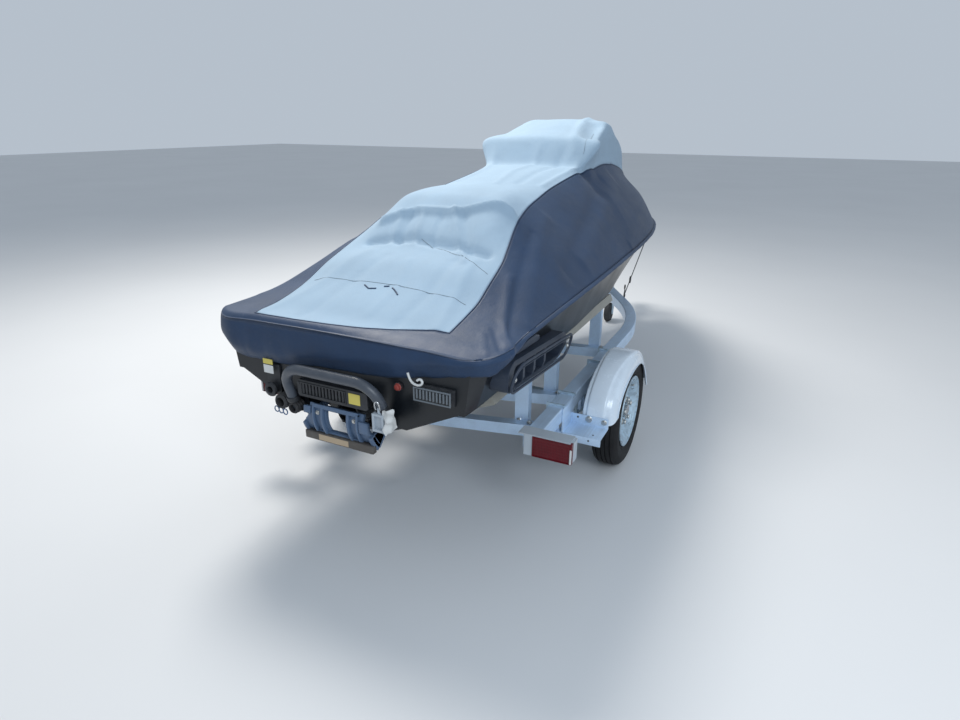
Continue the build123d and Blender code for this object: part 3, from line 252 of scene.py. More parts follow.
@dataclass(frozen=True)
class Metal:
    """Bare, brushed, galvanised or cast metal."""

    name: str
    colour: Colour
    rough: float
    grain: Grain
    metallic: float = 1.0

    def build(self) -> bpy.types.Material:
        """Makes the material."""
        shader = Shader(self.name, {"Metallic": self.metallic})
        stain = shader.noise(shader.place(), 9, 4, 0.6)
        if self.grain is Grain.BRUSHED:
            fine = shader.noise(shader.place(scale=(260, 3, 260)), 1.0, 3, 0.6)
            deep, spread = 0.0004, 0.12
        elif self.grain is Grain.SPANGLE:
            fine = shader.axes(shader.node("ShaderNodeTexVoronoi", None,
                                           {"Vector": shader.place(), "Scale": 70.0}, "Color"))[0]
            deep, spread = 0.0002, 0.16
        else:
            fine = shader.noise(shader.place(), 240, 2, 0.5)
            deep, spread = 0.0006, 0.1
        tone = shader.spread(stain * 0.55 + fine * 0.45, 0.3, 0.7, (0.0, 1.0))
        shader.feed(Base_Color=shader.tones(tone, self.colour, 0.74, 1.06),
                    Roughness=shader.spread(stain * 0.5 + fine * 0.5, 0.25, 0.75,
                                            (self.rough - spread, self.rough + spread)))
        shader.bump(fine, deep, 0.35)
        return shader.material


@dataclass(frozen=True)
class Plastic:
    """Moulded plastic, painted metal or gel coat."""

    name: str
    colour: Colour
    rough: float
    grain: float = 0.25
    coat: float = 0.0
    scuff: float = 0.25

    def build(self) -> bpy.types.Material:
        """Makes the material."""
        shader = Shader(self.name, {"Coat Weight": self.coat, "Coat Roughness": 0.12})
        cloud = shader.noise(shader.place(), 7, 4, 0.6)
        fine = shader.noise(shader.place(), 900, 2, 0.5)
        dirt = shader.noise(shader.place(scale=(1, 1, 2)), 30, 6, 0.7)
        dust = shader.spread(dirt, 0.5, 0.75, (0.0, self.scuff))
        base = shader.tones(cloud, self.colour, 0.84, 1.14)
        shader.feed(Base_Color=shader.blend(dust, base, rgba(self.colour, 0.6, 0.13)),
                    Roughness=shader.spread(cloud + dust, 0.3, 0.9, (self.rough - 0.06, self.rough + 0.12)))
        shader.bump(fine, 0.0005, self.grain)
        return shader.material


@dataclass(frozen=True)
class Rubber:
    """Tyre or moulded rubber with patches of dust."""

    name: str
    colour: Colour
    dusty: float = 0.35

    def build(self) -> bpy.types.Material:
        """Makes the material."""
        shader = Shader(self.name, {"Specular IOR Level": 0.35})
        cloud = shader.noise(shader.place(), 12, 5, 0.65)
        fine = shader.noise(shader.place(), 420, 2, 0.5)
        dust = shader.spread(cloud, 0.42, 0.75, (0.0, self.dusty))
        shader.feed(Base_Color=shader.blend(dust, rgba(self.colour), rgba(self.colour, 0.5, 0.11)),
                    Roughness=shader.spread(fine, 0.2, 0.8, (0.62, 0.88)))
        shader.bump(fine, 0.0006, 0.4)
        return shader.material


@dataclass(frozen=True)
class Lens:
    """Red lamp lens with fine vertical prisms."""

    name: str
    colour: Colour

    def build(self) -> bpy.types.Material:
        """Makes the material."""
        shader = Shader(self.name, {"Roughness": 0.22, "Specular IOR Level": 0.35})
        across, _, up = shader.axes(shader.place())
        ridge, cells = across.wave(0.006), up.wave(0.012)
        glow = shader.noise(shader.place(), 16, 2)
        shader.feed(Base_Color=shader.tones(glow * 0.6 + ridge * 0.3, self.colour, 0.5, 1.25))
        shader.bump(ridge * 0.6 + cells * 0.4, 0.0012, 0.8)
        return shader.material


@dataclass(frozen=True)
class Carpet:
    """Looped carpet over a bunk board."""

    name: str
    colour: Colour

    def build(self) -> bpy.types.Material:
        """Makes the material."""
        shader = Shader(self.name, {"Sheen Weight": 0.3, "Specular IOR Level": 0.2, "Roughness": 0.95})
        loops = shader.node("ShaderNodeTexVoronoi", None,
                            {"Vector": shader.place(), "Scale": 240.0}, "Distance")
        wear = shader.noise(shader.place(), 10, 5, 0.6)
        shader.feed(Base_Color=shader.tones(wear * 0.7 + loops * 0.4, self.colour, 1.2, 0.6))
        shader.bump(loops, 0.002, 0.7)
        return shader.material


@dataclass(frozen=True)
class Webbing:
    """Woven strap with ribs across its width."""

    name: str
    colour: Colour

    def build(self) -> bpy.types.Material:
        """Makes the material."""
        shader = Shader(self.name, {"Sheen Weight": 0.25, "Roughness": 0.85})
        ribs = shader.axes(shader.place())[2].wave(0.0025)
        wear = shader.noise(shader.place(), 60, 4, 0.6)
        shader.feed(Base_Color=shader.tones(ribs * 0.5 + wear * 0.4, self.colour, 0.7, 1.6))
        shader.bump(ribs, 0.0006, 0.8)
        return shader.material


FINISHES = {
    # Pale cover cloth: its blue tint is painted sky light; the cloth itself is a light grey.
    "cover_pale": Canvas("cover_pale_cloth", (0.315, 0.43, 0.54), 0.85, 0.06, 0.09),
    # Dark cover cloth: a dark navy, pushed bluer as painted sky light.
    "cover_dark": Canvas("cover_dark_cloth", (0.016, 0.041, 0.095), 0.50, 0.03, 0.25),
    "hull_gelcoat": Plastic("hull_gelcoat", (0.004, 0.006, 0.009), 0.34, 0.03, 0.0, 0.02),
    "black_plastic": Plastic("black_moulding", (0.022, 0.024, 0.028), 0.52),
    "grey_plastic": Plastic("grey_moulding", (0.022, 0.033, 0.056), 0.52),
    "gate_plastic": Plastic("gate_moulding", (0.085, 0.135, 0.22), 0.42),
    "strap": Webbing("strap_webbing", (0.016, 0.017, 0.02)),
    # Aluminium: its pale blue base colour is a painted reflection of the sky, made lighter as painted light
    # on the rails.
    "aluminium": Metal("mill_aluminium", (0.58, 0.74, 0.93), 0.42, Grain.BRUSHED, 0.45),
    # Galvanised steel: its blue tint is a painted reflection of the sky.
    "galvanised": Metal("galvanised_steel", (0.47, 0.60, 0.70), 0.42, Grain.SPANGLE, 0.5),
    "steel": Metal("bright_steel", (0.60, 0.61, 0.62), 0.26, Grain.BRUSHED),
    "cast": Metal("cast_block", (0.10, 0.10, 0.10), 0.60, Grain.CAST, 0.5),
    # Silver paint: the fender's own silver, lightened and tinted blue as painted sun and sky light.
    "silver_paint": Plastic("silver_paint", (0.64, 0.73, 0.82), 0.26, 0.02, 0.5, 0.08),
    "bunk_board": Carpet("bunk_carpet", (0.36, 0.35, 0.31)),
    "tyre": Rubber("tyre_rubber", (0.006, 0.006, 0.007), 0.10),
    "rubber": Rubber("moulded_rubber", (0.03, 0.03, 0.032)),
    "lens": Lens("lamp_lens", (0.13, 0.002, 0.008)),
    "lamp_body": Plastic("lamp_body", (0.40, 0.45, 0.50), 0.42),
    "zinc": Metal("zinc_bolts", (0.62, 0.62, 0.60), 0.34, Grain.CAST),
    "sticker_yellow": Plastic("blank_yellow_plate", (0.60, 0.50, 0.09), 0.42, 0.02, 0.3),
    "sticker_white": Plastic("blank_white_plate", (0.62, 0.63, 0.62), 0.42, 0.02, 0.3),
    "sticker_tan": Plastic("blank_tan_plate", (0.42, 0.32, 0.21), 0.5, 0.02, 0.2),
    "red_plastic": Plastic("red_cap", (0.30, 0.045, 0.035), 0.45),
    # Step moulding: lighter blue grey than the other mouldings, partly a painted highlight of the sky on the
    # step.
    "step_grip": Plastic("step_moulding", (0.060, 0.070, 0.088), 0.36, 0.12),
    "dirty_lip": Plastic("scuffed_lip", (0.075, 0.066, 0.057), 0.5, 0.3, 0.0, 0.5),
    "seam_dark": Webbing("seam_thread", (0.12, 0.15, 0.18)),
    "vent_edge": Plastic("vent_moulding", (0.13, 0.15, 0.17), 0.42),
    "blue_ring": Plastic("blue_ring", (0.06, 0.13, 0.26), 0.5),
}
# Nodes whose finish differs from their slot's; the boarding step's is partly a painted highlight.
NODE_FINISH = {"boarding_step": "step_grip"}


class Palette:
    """Makes each finish once."""

    def __init__(self) -> None:
        """Starts with nothing made."""
        self.made: dict[str, bpy.types.Material] = {}

    def get(self, key: str) -> bpy.types.Material:
        """Gives the material of a finish."""
        if key not in self.made:
            self.made[key] = FINISHES[key].build()
        return self.made[key]

    def dress_nodes(self) -> None:
        """Gives every CAD node the finish of its slot in the record."""
        slots = {row["node"]: row["material_slot"] for row in frame["record"]["subparts"]}
        for name, node in frame["nodes"].items():
            node.data.materials.clear()
            node.data.materials.append(self.get(NODE_FINISH.get(name, slots[name])))


PALETTE = Palette()


# Modelling


def deselect() -> None:
    """Leaves nothing selected and no object in edit mode."""
    if bpy.context.object and bpy.context.object.mode != "OBJECT":
        bpy.ops.object.mode_set(mode="OBJECT")
    bpy.ops.object.select_all(action="DESELECT")


def focus(piece: bpy.types.Object) -> None:
    """Makes a piece the active one and the only one selected."""
    deselect()
    piece.select_set(True)
    bpy.context.view_layer.objects.active = piece


def adopt(name: str, data: bpy.types.ID) -> bpy.types.Object:
    """Makes an object of a mesh or curve and focuses on it."""
    piece = bpy.data.objects.new(name, data)
    bpy.context.collection.objects.link(piece)
    focus(piece)
    return piece


@contextmanager
def editing() -> Iterator[None]:
    """Stays in edit mode for a block, with the whole active mesh selected at its start."""
    bpy.ops.object.mode_set(mode="EDIT")
    bpy.ops.mesh.select_all(action="SELECT")
    yield
    bpy.ops.object.mode_set(mode="OBJECT")


def turned(toward: Vector) -> Matrix:
    """Gives the turn that brings +Z to a direction."""
    return Vector((0, 0, 1)).rotation_difference(toward.normalized()).to_matrix().to_4x4()


def settle(piece: bpy.types.Object) -> None:
    """Puts a piece's place into its mesh."""
    focus(piece)
    bpy.ops.object.transform_apply(location=True, rotation=True, scale=True)


def finished(piece: bpy.types.Object, name: str, slot: str, body: str = "frame",
             finish: str | None = None) -> bpy.types.Object:
    """Names, settles, dresses and attaches a new piece.

    Args:
        piece: the new object.
        name: its name.
        slot: the record's material slot that it takes.
        body: the CAD body that carries it.
        finish: a finish of its own, else its slot's.

    Returns:
        The same object.
    """
    settle(piece)
    piece.name = name
    piece.data.materials.clear()
    piece.data.materials.append(PALETTE.get(finish or slot))
    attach(piece, body)
    LOG.info("%s on %s", name, body)
    return piece


BACK = Vector((0, -1, 0))
UP = Vector((0, 0, 1))
# Distance under which a turned piece's doubled points are merged.
MERGE = 0.00004


class Bench:
    """Modelling moves in edit mode."""

    @staticmethod
    def apply(piece: bpy.types.Object, kind: str, **settings: object) -> None:
        """Adds a modifier and applies it."""
        focus(piece)
        modifier = piece.modifiers.new(kind.lower(), kind)
        for key, value in settings.items():
            setattr(modifier, key, value)
        bpy.ops.object.modifier_apply(modifier=modifier.name)

    @staticmethod
    def smooth(piece: bpy.types.Object, degrees: float = 35.0) -> None:
        """Shades a piece smooth under an angle."""
        focus(piece)
        bpy.ops.object.shade_smooth_by_angle(angle=math.radians(degrees))

    @classmethod
    def block(cls, low: Vector, high: Vector, edge: float = 0.0, steps: int = 2) -> bpy.types.Object:
        """Makes a box between two corners with its edges bevelled."""
        deselect()
        bpy.ops.mesh.primitive_cube_add(size=1, location=(low + high) / 2)
        piece = bpy.context.object
        piece.scale = high - low
        settle(piece)
        if edge > 0:
            with editing():
                bpy.ops.mesh.bevel(offset=edge, segments=steps, affect="EDGES")
            cls.smooth(piece)
        return piece

    @classmethod
    def lathe(cls, profile: Sequence[tuple[float, float]], centre: Vector, axis: Vector,
              steps: int = 32) -> bpy.types.Object:
        """Spins a profile of (along, radius) points about an axis.

        Args:
            profile: points from one end to the other; a closed ring repeats its first point.
            centre: origin of the axis.
            axis: its direction.
            steps: steps of the spin.

        Returns:
            The turned piece.
        """
        mesh = bpy.data.meshes.new("lathe")
        points = [turned(axis) @ Vector((radius, 0, along)) for along, radius in profile]
        mesh.from_pydata([centre + p for p in points], [(i, i + 1) for i in range(len(points) - 1)], [])
        piece = adopt("lathe", mesh)
        with editing():
            bpy.ops.mesh.spin(steps=steps, angle=2 * math.pi, center=centre, axis=axis)
            bpy.ops.mesh.select_all(action="SELECT")
            bpy.ops.mesh.remove_doubles(threshold=MERGE)
            bpy.ops.mesh.normals_make_consistent(inside=False)
        cls.smooth(piece)
        return piece

    @staticmethod
    def tube(points: Sequence[Vector], radius: float, closed: bool = False,
             sides: int = 3) -> bpy.types.Object:
        """Makes a round tube along a smooth line."""
        curve = bpy.data.curves.new("tube", "CURVE")
        curve.dimensions = "3D"
        curve.bevel_depth, curve.bevel_resolution, curve.use_fill_caps = radius, sides, True
        line = curve.splines.new("NURBS")
        line.points.add(len(points) - 1)
        for spot, point in zip(line.points, points):
            spot.co = (*point, 1)
        line.order_u, line.use_endpoint_u, line.use_cyclic_u = 3, not closed, closed
        line.resolution_u = 6
        adopt("tube", curve)
        bpy.ops.object.convert(target="MESH")
        piece = bpy.context.object
        for polygon in piece.data.polygons:
            polygon.use_smooth = True
        return piece

    @classmethod
    def prism(cls, outline: Sequence[Vector], push: Vector, edge: float = 0.0, rim: float = 0.0,
              steps: int = 2) -> bpy.types.Object:
        """Fills an outline and extrudes it, as a plate or, with a rim, as an open frame.

        Args:
            outline: its corners in order.
            push: direction and depth of the plate.
            edge: bevel of its sharp edges.
            rim: width of the frame, or nought for a full plate.
            steps: bevel segments.

        Returns:
            The plate.
        """
        mesh = bpy.data.meshes.new("prism")
        count = len(outline)
        mesh.from_pydata(list(outline), [(i, (i + 1) % count) for i in range(count)], [])
        piece = adopt("prism", mesh)
        with editing():
            bpy.ops.mesh.edge_face_add()
            if rim > 0:
                bpy.ops.mesh.inset(thickness=rim)
                bpy.ops.mesh.delete(type="FACE")
                bpy.ops.mesh.select_all(action="SELECT")
            bpy.ops.mesh.extrude_region_move(TRANSFORM_OT_translate={"value": push})
            bpy.ops.mesh.select_all(action="SELECT")
            bpy.ops.mesh.normals_make_consistent(inside=False)
            if edge > 0:
                bpy.ops.mesh.select_all(action="DESELECT")
                bpy.ops.mesh.edges_select_sharp(sharpness=math.radians(40))
                bpy.ops.mesh.bevel(offset=edge, segments=steps, affect="EDGES")
        cls.smooth(piece)
        return piece

    @classmethod
    def scatter(cls, seed: bpy.types.Object, places: Iterable[tuple[Vector, Vector]]) -> bpy.types.Object:
        """Copies a piece that stands on +Z at the origin to places, each copy with its own mesh.

        Args:
            seed: the piece, which is used up.
            places: pairs of a place and the direction that +Z turns to.

        Returns:
            The copies joined.
        """
        made = []
        for place, toward in places:
            copy = seed.copy()
            copy.data = seed.data.copy()
            copy.data.transform(Matrix.Translation(place) @ turned(toward))
            bpy.context.collection.objects.link(copy)
            made.append(copy)
        bpy.data.objects.remove(seed)
        return cls.join(made)

    @classmethod
    def bolt(cls, radius: float, rise: float = 0.0) -> bpy.types.Object:
        """Makes a hexagon bolt head on a washer, standing on +Z at the origin."""
        rise = rise or 0.7 * radius
        deselect()
        bpy.ops.mesh.primitive_cylinder_add(vertices=6, radius=radius, depth=rise,
                                            location=(0, 0, rise / 2 + 0.001))
        head = bpy.context.object
        with editing():
            bpy.ops.mesh.bevel(offset=radius * 0.12, segments=2, affect="EDGES")
        washer = cls.lathe([(-0.002, 0), (-0.002, 1.35 * radius), (0.0008, 1.45 * radius),
                            (0.002, 1.3 * radius), (0.002, 0)], Vector((0, 0, 0)), UP, 20)
        both = cls.join([head, washer])
        settle(both)
        return both

    @staticmethod
    def join(pieces: Sequence[bpy.types.Object]) -> bpy.types.Object:
        """Joins pieces into the first one."""
        deselect()
        for piece in pieces:
            piece.select_set(True)
        bpy.context.view_layer.objects.active = pieces[0]
        bpy.ops.object.join()
        return bpy.context.object


def smooth_row(rows: Sequence[Sequence[float]], y: float) -> list[float]:
    """Reads a station table by a monotone cubic along its first column."""
    count = len(rows)
    y = min(max(y, rows[0][0]), rows[-1][0])
    k = max(i for i in range(count - 1) if rows[i][0] <= y)
    gap = rows[k + 1][0] - rows[k][0]
    part = (y - rows[k][0]) / gap
    out = [y]
    for c in range(1, len(rows[0])):
        def slope(i: int) -> float:
            """Slope of the column over one gap."""
            i = min(max(i, 0), count - 2)
            return (rows[i + 1][c] - rows[i][c]) / (rows[i + 1][0] - rows[i][0])

        def tangent(i: int) -> float:
            """Harmonic mean of the slopes at a row."""
            a, b = slope(i - 1), slope(i)
            return 0.0 if a * b <= 0 else 2 * a * b / (a + b)
        p0, p1, m0, m1 = rows[k][c], rows[k + 1][c], tangent(k) * gap, tangent(k + 1) * gap
        t2, t3 = part * part, part ** 3
        out.append((2 * t3 - 3 * t2 + 1) * p0 + (t3 - 2 * t2 + part) * m0
                   + (3 * t2 - 2 * t3) * p1 + (t3 - t2) * m1)
    return out


def smooth_path(points: Sequence[Vector], counts: Sequence[int]) -> list[Vector]:
    """Passes a smooth line through points, with a number of steps for each gap."""
    ends = [points[0] * 2 - points[1], *points, points[-1] * 2 - points[-2]]
    out = [points[0].copy()]
    for i, steps in enumerate(counts):
        a, b, c, d = ends[i:i + 4]
        ab, bc, cd = (b - a).length, (c - b).length, (d - c).length
        m0 = ((b - a) / max(ab, 1e-6) + (c - b) / max(bc, 1e-6)) * bc / 2
        m1 = ((c - b) / max(bc, 1e-6) + (d - c) / max(cd, 1e-6)) * bc / 2
        for k in range(1, steps + 1):
            t = k / steps
            out.append(b * (2 * t ** 3 - 3 * t ** 2 + 1) + m0 * (t ** 3 - 2 * t ** 2 + t)
                       + c * (3 * t ** 2 - 2 * t ** 3) + m1 * (t ** 3 - t ** 2))
    return out


def ellipse(middle: Vector, across: Vector, up: Vector, count: int) -> list[Vector]:
    """Gives points round an ellipse with two half axes."""
    return [middle + across * math.cos(t) + up * math.sin(t)
            for t in (2 * math.pi * k / count for k in range(count))]


def ease(value: float, low: float, high: float) -> float:
    """Smooth step from nought at low to one at high."""
    t = min(max((value - low) / (high - low), 0.0), 1.0)
    return t * t * (3 - 2 * t)


# Cover

# Station, seam half width and height, ridge half width and height, crown height.
COVER_ROWS = (
    (-1.144, 0.352, 0.883, 0.237, 0.885, 0.888), (-1.051, 0.352, 0.888, 0.237, 0.891, 0.893),
    (-0.970, 0.366, 0.903, 0.250, 0.916, 0.925), (-0.830, 0.385, 0.938, 0.270, 0.965, 0.976),
    (-0.700, 0.380, 0.994, 0.262, 1.028, 1.036), (-0.580, 0.370, 1.040, 0.252, 1.060, 1.066),
    (-0.460, 0.346, 1.093, 0.248, 1.142, 1.152), (-0.380, 0.330, 1.132, 0.240, 1.190, 1.202),
    (-0.280, 0.314, 1.171, 0.230, 1.242, 1.256), (-0.140, 0.296, 1.202, 0.214, 1.256, 1.274),
    (0.000, 0.284, 1.222, 0.205, 1.258, 1.277), (0.160, 0.276, 1.247, 0.200, 1.268, 1.288),
    (0.310, 0.274, 1.265, 0.205, 1.285, 1.304), (0.600, 0.280, 1.298, 0.262, 1.322, 1.336),
    (0.660, 0.290, 1.303, 0.310, 1.372, 1.400), (0.710, 0.300, 1.306, 0.350, 1.438, 1.470),
    (0.850, 0.296, 1.311, 0.294, 1.462, 1.502), (1.000, 0.287, 1.314, 0.272, 1.503, 1.532),
    (1.200, 0.280, 1.303, 0.250, 1.544, 1.560), (1.460, 0.258, 1.272, 0.215, 1.478, 1.492),
    (1.740, 0.222, 1.222, 0.190, 1.386, 1.400), (1.856, 0.200, 1.192, 0.172, 1.220, 1.232),
    (2.132, 0.120, 1.085, 0.088, 1.096, 1.100), (2.345, 0.030, 0.955, 0.018, 0.958, 0.960),
)
# Station, bumper half width and height, how far in and how low the hem lies along the side.
BUMPER_ROWS = (
    (-1.144, 0.521, 0.865, 0.006, 0.846), (-1.051, 0.568, 0.868, 0.006, 0.850),
    (-0.601, 0.585, 0.885, 0.005, 0.868), (-0.013, 0.592, 0.900, 0.005, 0.882),
    (0.610, 0.585, 0.912, 0.005, 0.894), (1.094, 0.562, 0.918, 0.006, 0.899),
    (1.510, 0.502, 0.922, 0.008, 0.904), (1.856, 0.395, 0.925, 0.010, 0.908),
    (2.132, 0.240, 0.925, 0.010, 0.909), (2.345, 0.045, 0.925, 0.006, 0.909),
)
# Across the stern: place, stern edge of the pale panel, height of the lit fold, height of the hem.
STERN_ROWS = (
    (-0.60, -1.108, 0.800, 0.750), (-0.52, -1.112, 0.766, 0.722), (-0.42, -1.116, 0.742, 0.708),
    (-0.28, -1.118, 0.744, 0.708), (-0.10, -1.114, 0.765, 0.728), (0.07, -1.096, 0.784, 0.733),
    (0.22, -1.052, 0.798, 0.744), (0.34, -1.020, 0.818, 0.768), (0.44, -1.012, 0.832, 0.785),
    (0.52, -1.010, 0.840, 0.797), (0.60, -1.010, 0.845, 0.797),
)


@dataclass(frozen=True)
class Fold:
    """A crease or swell of the cloth along a line of axle-frame points."""

    rise: float
    reach: float
    line: tuple[Point, ...]
    toward: Point = (0, 0, 1)


OUT = (1.0, 0.0, 0.35)
FOLDS = (
    # The seat's rear facet: its upper and lower edges, wrinkles and the diagonal.
    Fold(0.026, 0.016, ((-0.25, -0.46, 1.14), (-0.10, -0.40, 1.17), (0.08, -0.40, 1.17),
                        (0.29, -0.30, 1.16))),
    Fold(-0.020, 0.018, ((-0.25, -0.56, 1.07), (-0.08, -0.53, 1.09), (0.06, -0.54, 1.09),
                         (0.30, -0.56, 1.06))),
    Fold(0.010, 0.012, ((-0.17, -0.43, 1.15), (-0.15, -0.55, 1.08))),
    Fold(-0.009, 0.010, ((-0.12, -0.42, 1.16), (-0.11, -0.56, 1.07))),
    Fold(0.009, 0.010, ((-0.07, -0.42, 1.16), (-0.04, -0.55, 1.08))),
    Fold(-0.008, 0.010, ((0.02, -0.42, 1.16), (0.05, -0.55, 1.08))),
    Fold(0.013, 0.013, ((0.07, -0.40, 1.17), (0.17, -0.55, 1.08), (0.24, -0.64, 1.03))),
    Fold(-0.009, 0.012, ((0.12, -0.40, 1.17), (0.22, -0.55, 1.08))),
    # Deck: tension lines toward the corners and a swell along the middle.
    Fold(0.006, 0.030, ((-0.20, -0.64, 1.03), (-0.30, -0.90, 0.94), (-0.38, -1.08, 0.89))),
    Fold(-0.005, 0.024, ((-0.10, -0.66, 1.03), (-0.16, -0.90, 0.95), (-0.20, -1.08, 0.89))),
    Fold(0.006, 0.022, ((0.27, -0.62, 1.04), (0.30, -0.82, 0.96), (0.33, -1.00, 0.91))),
    Fold(-0.006, 0.020, ((0.20, -0.64, 1.04), (0.20, -0.84, 0.97), (0.18, -1.04, 0.90))),
    Fold(0.004, 0.014, ((0.02, -0.68, 1.03), (0.06, -0.84, 0.97), (0.05, -1.00, 0.91))),
    # Handlebar: ridge, corners of the bar and sagging cloth between it and the seat.
    Fold(0.014, 0.026, ((0.10, 1.46, 1.50), (0.13, 1.10, 1.53), (0.17, 0.86, 1.49), (0.22, 0.66, 1.38))),
    Fold(-0.022, 0.040, ((0.27, 0.78, 1.42), (0.24, 0.92, 1.46), (0.22, 1.06, 1.48))),
    Fold(-0.014, 0.040, ((0.22, 1.20, 1.48), (0.20, 1.36, 1.46))),
    Fold(0.010, 0.018, ((0.19, 1.46, 1.46), (0.24, 1.30, 1.38), (0.26, 1.20, 1.32))),
    Fold(-0.014, 0.040, ((0.27, 0.62, 1.32), (0.10, 0.60, 1.34), (-0.20, 0.60, 1.34))),
    Fold(0.007, 0.016, ((0.26, 0.64, 1.34), (0.24, 0.40, 1.28), (0.24, 0.16, 1.24))),
    Fold(-0.006, 0.018, ((0.16, 0.66, 1.37), (0.12, 0.40, 1.30), (0.14, 0.10, 1.26))),
    Fold(0.006, 0.018, ((0.02, 0.66, 1.38), (0.00, 0.36, 1.30), (0.06, 0.02, 1.27))),
    Fold(0.007, 0.016, ((-0.24, 0.66, 1.36), (-0.20, 0.36, 1.29), (-0.19, 0.08, 1.25))),
    # Dark side: long pulls from the handlebar and short wrinkles round the stern corner.
    Fold(0.008, 0.040, ((0.34, 1.00, 1.25), (0.46, 0.50, 1.05), (0.54, -0.10, 0.95)), OUT),
    Fold(-0.007, 0.030, ((0.34, 0.80, 1.25), (0.44, 0.30, 1.06), (0.54, -0.30, 0.93)), OUT),
    Fold(0.006, 0.024, ((0.36, -0.10, 1.15), (0.46, -0.45, 1.0), (0.57, -0.80, 0.89)), OUT),
    Fold(-0.006, 0.020, ((0.38, -0.30, 1.1), (0.46, -0.62, 0.97), (0.56, -0.95, 0.88)), OUT),
    Fold(0.007, 0.018, ((0.42, -0.62, 0.99), (0.50, -0.84, 0.93), (0.58, -1.00, 0.86)), OUT),
    Fold(0.006, 0.012, ((0.50, -0.86, 0.91), (0.57, -0.96, 0.87), (0.60, -1.00, 0.82)), OUT),
    Fold(-0.005, 0.010, ((0.50, -0.92, 0.90), (0.56, -1.01, 0.86), (0.58, -1.04, 0.82)), OUT),
    Fold(0.005, 0.010, ((0.48, -0.97, 0.89), (0.53, -1.06, 0.86), (0.55, -1.08, 0.81)), OUT),
    Fold(0.006, 0.022, ((0.45, 1.50, 1.02), (0.50, 1.10, 0.97), (0.58, 0.60, 0.93)), OUT),
    Fold(0.006, 0.030, ((-0.46, 0.50, 1.05), (-0.54, -0.10, 0.95)), (-1.0, 0.0, 0.35)),
    Fold(0.006, 0.024, ((-0.40, -0.50, 1.02), (-0.55, -0.90, 0.88)), (-1.0, 0.0, 0.35)),
)


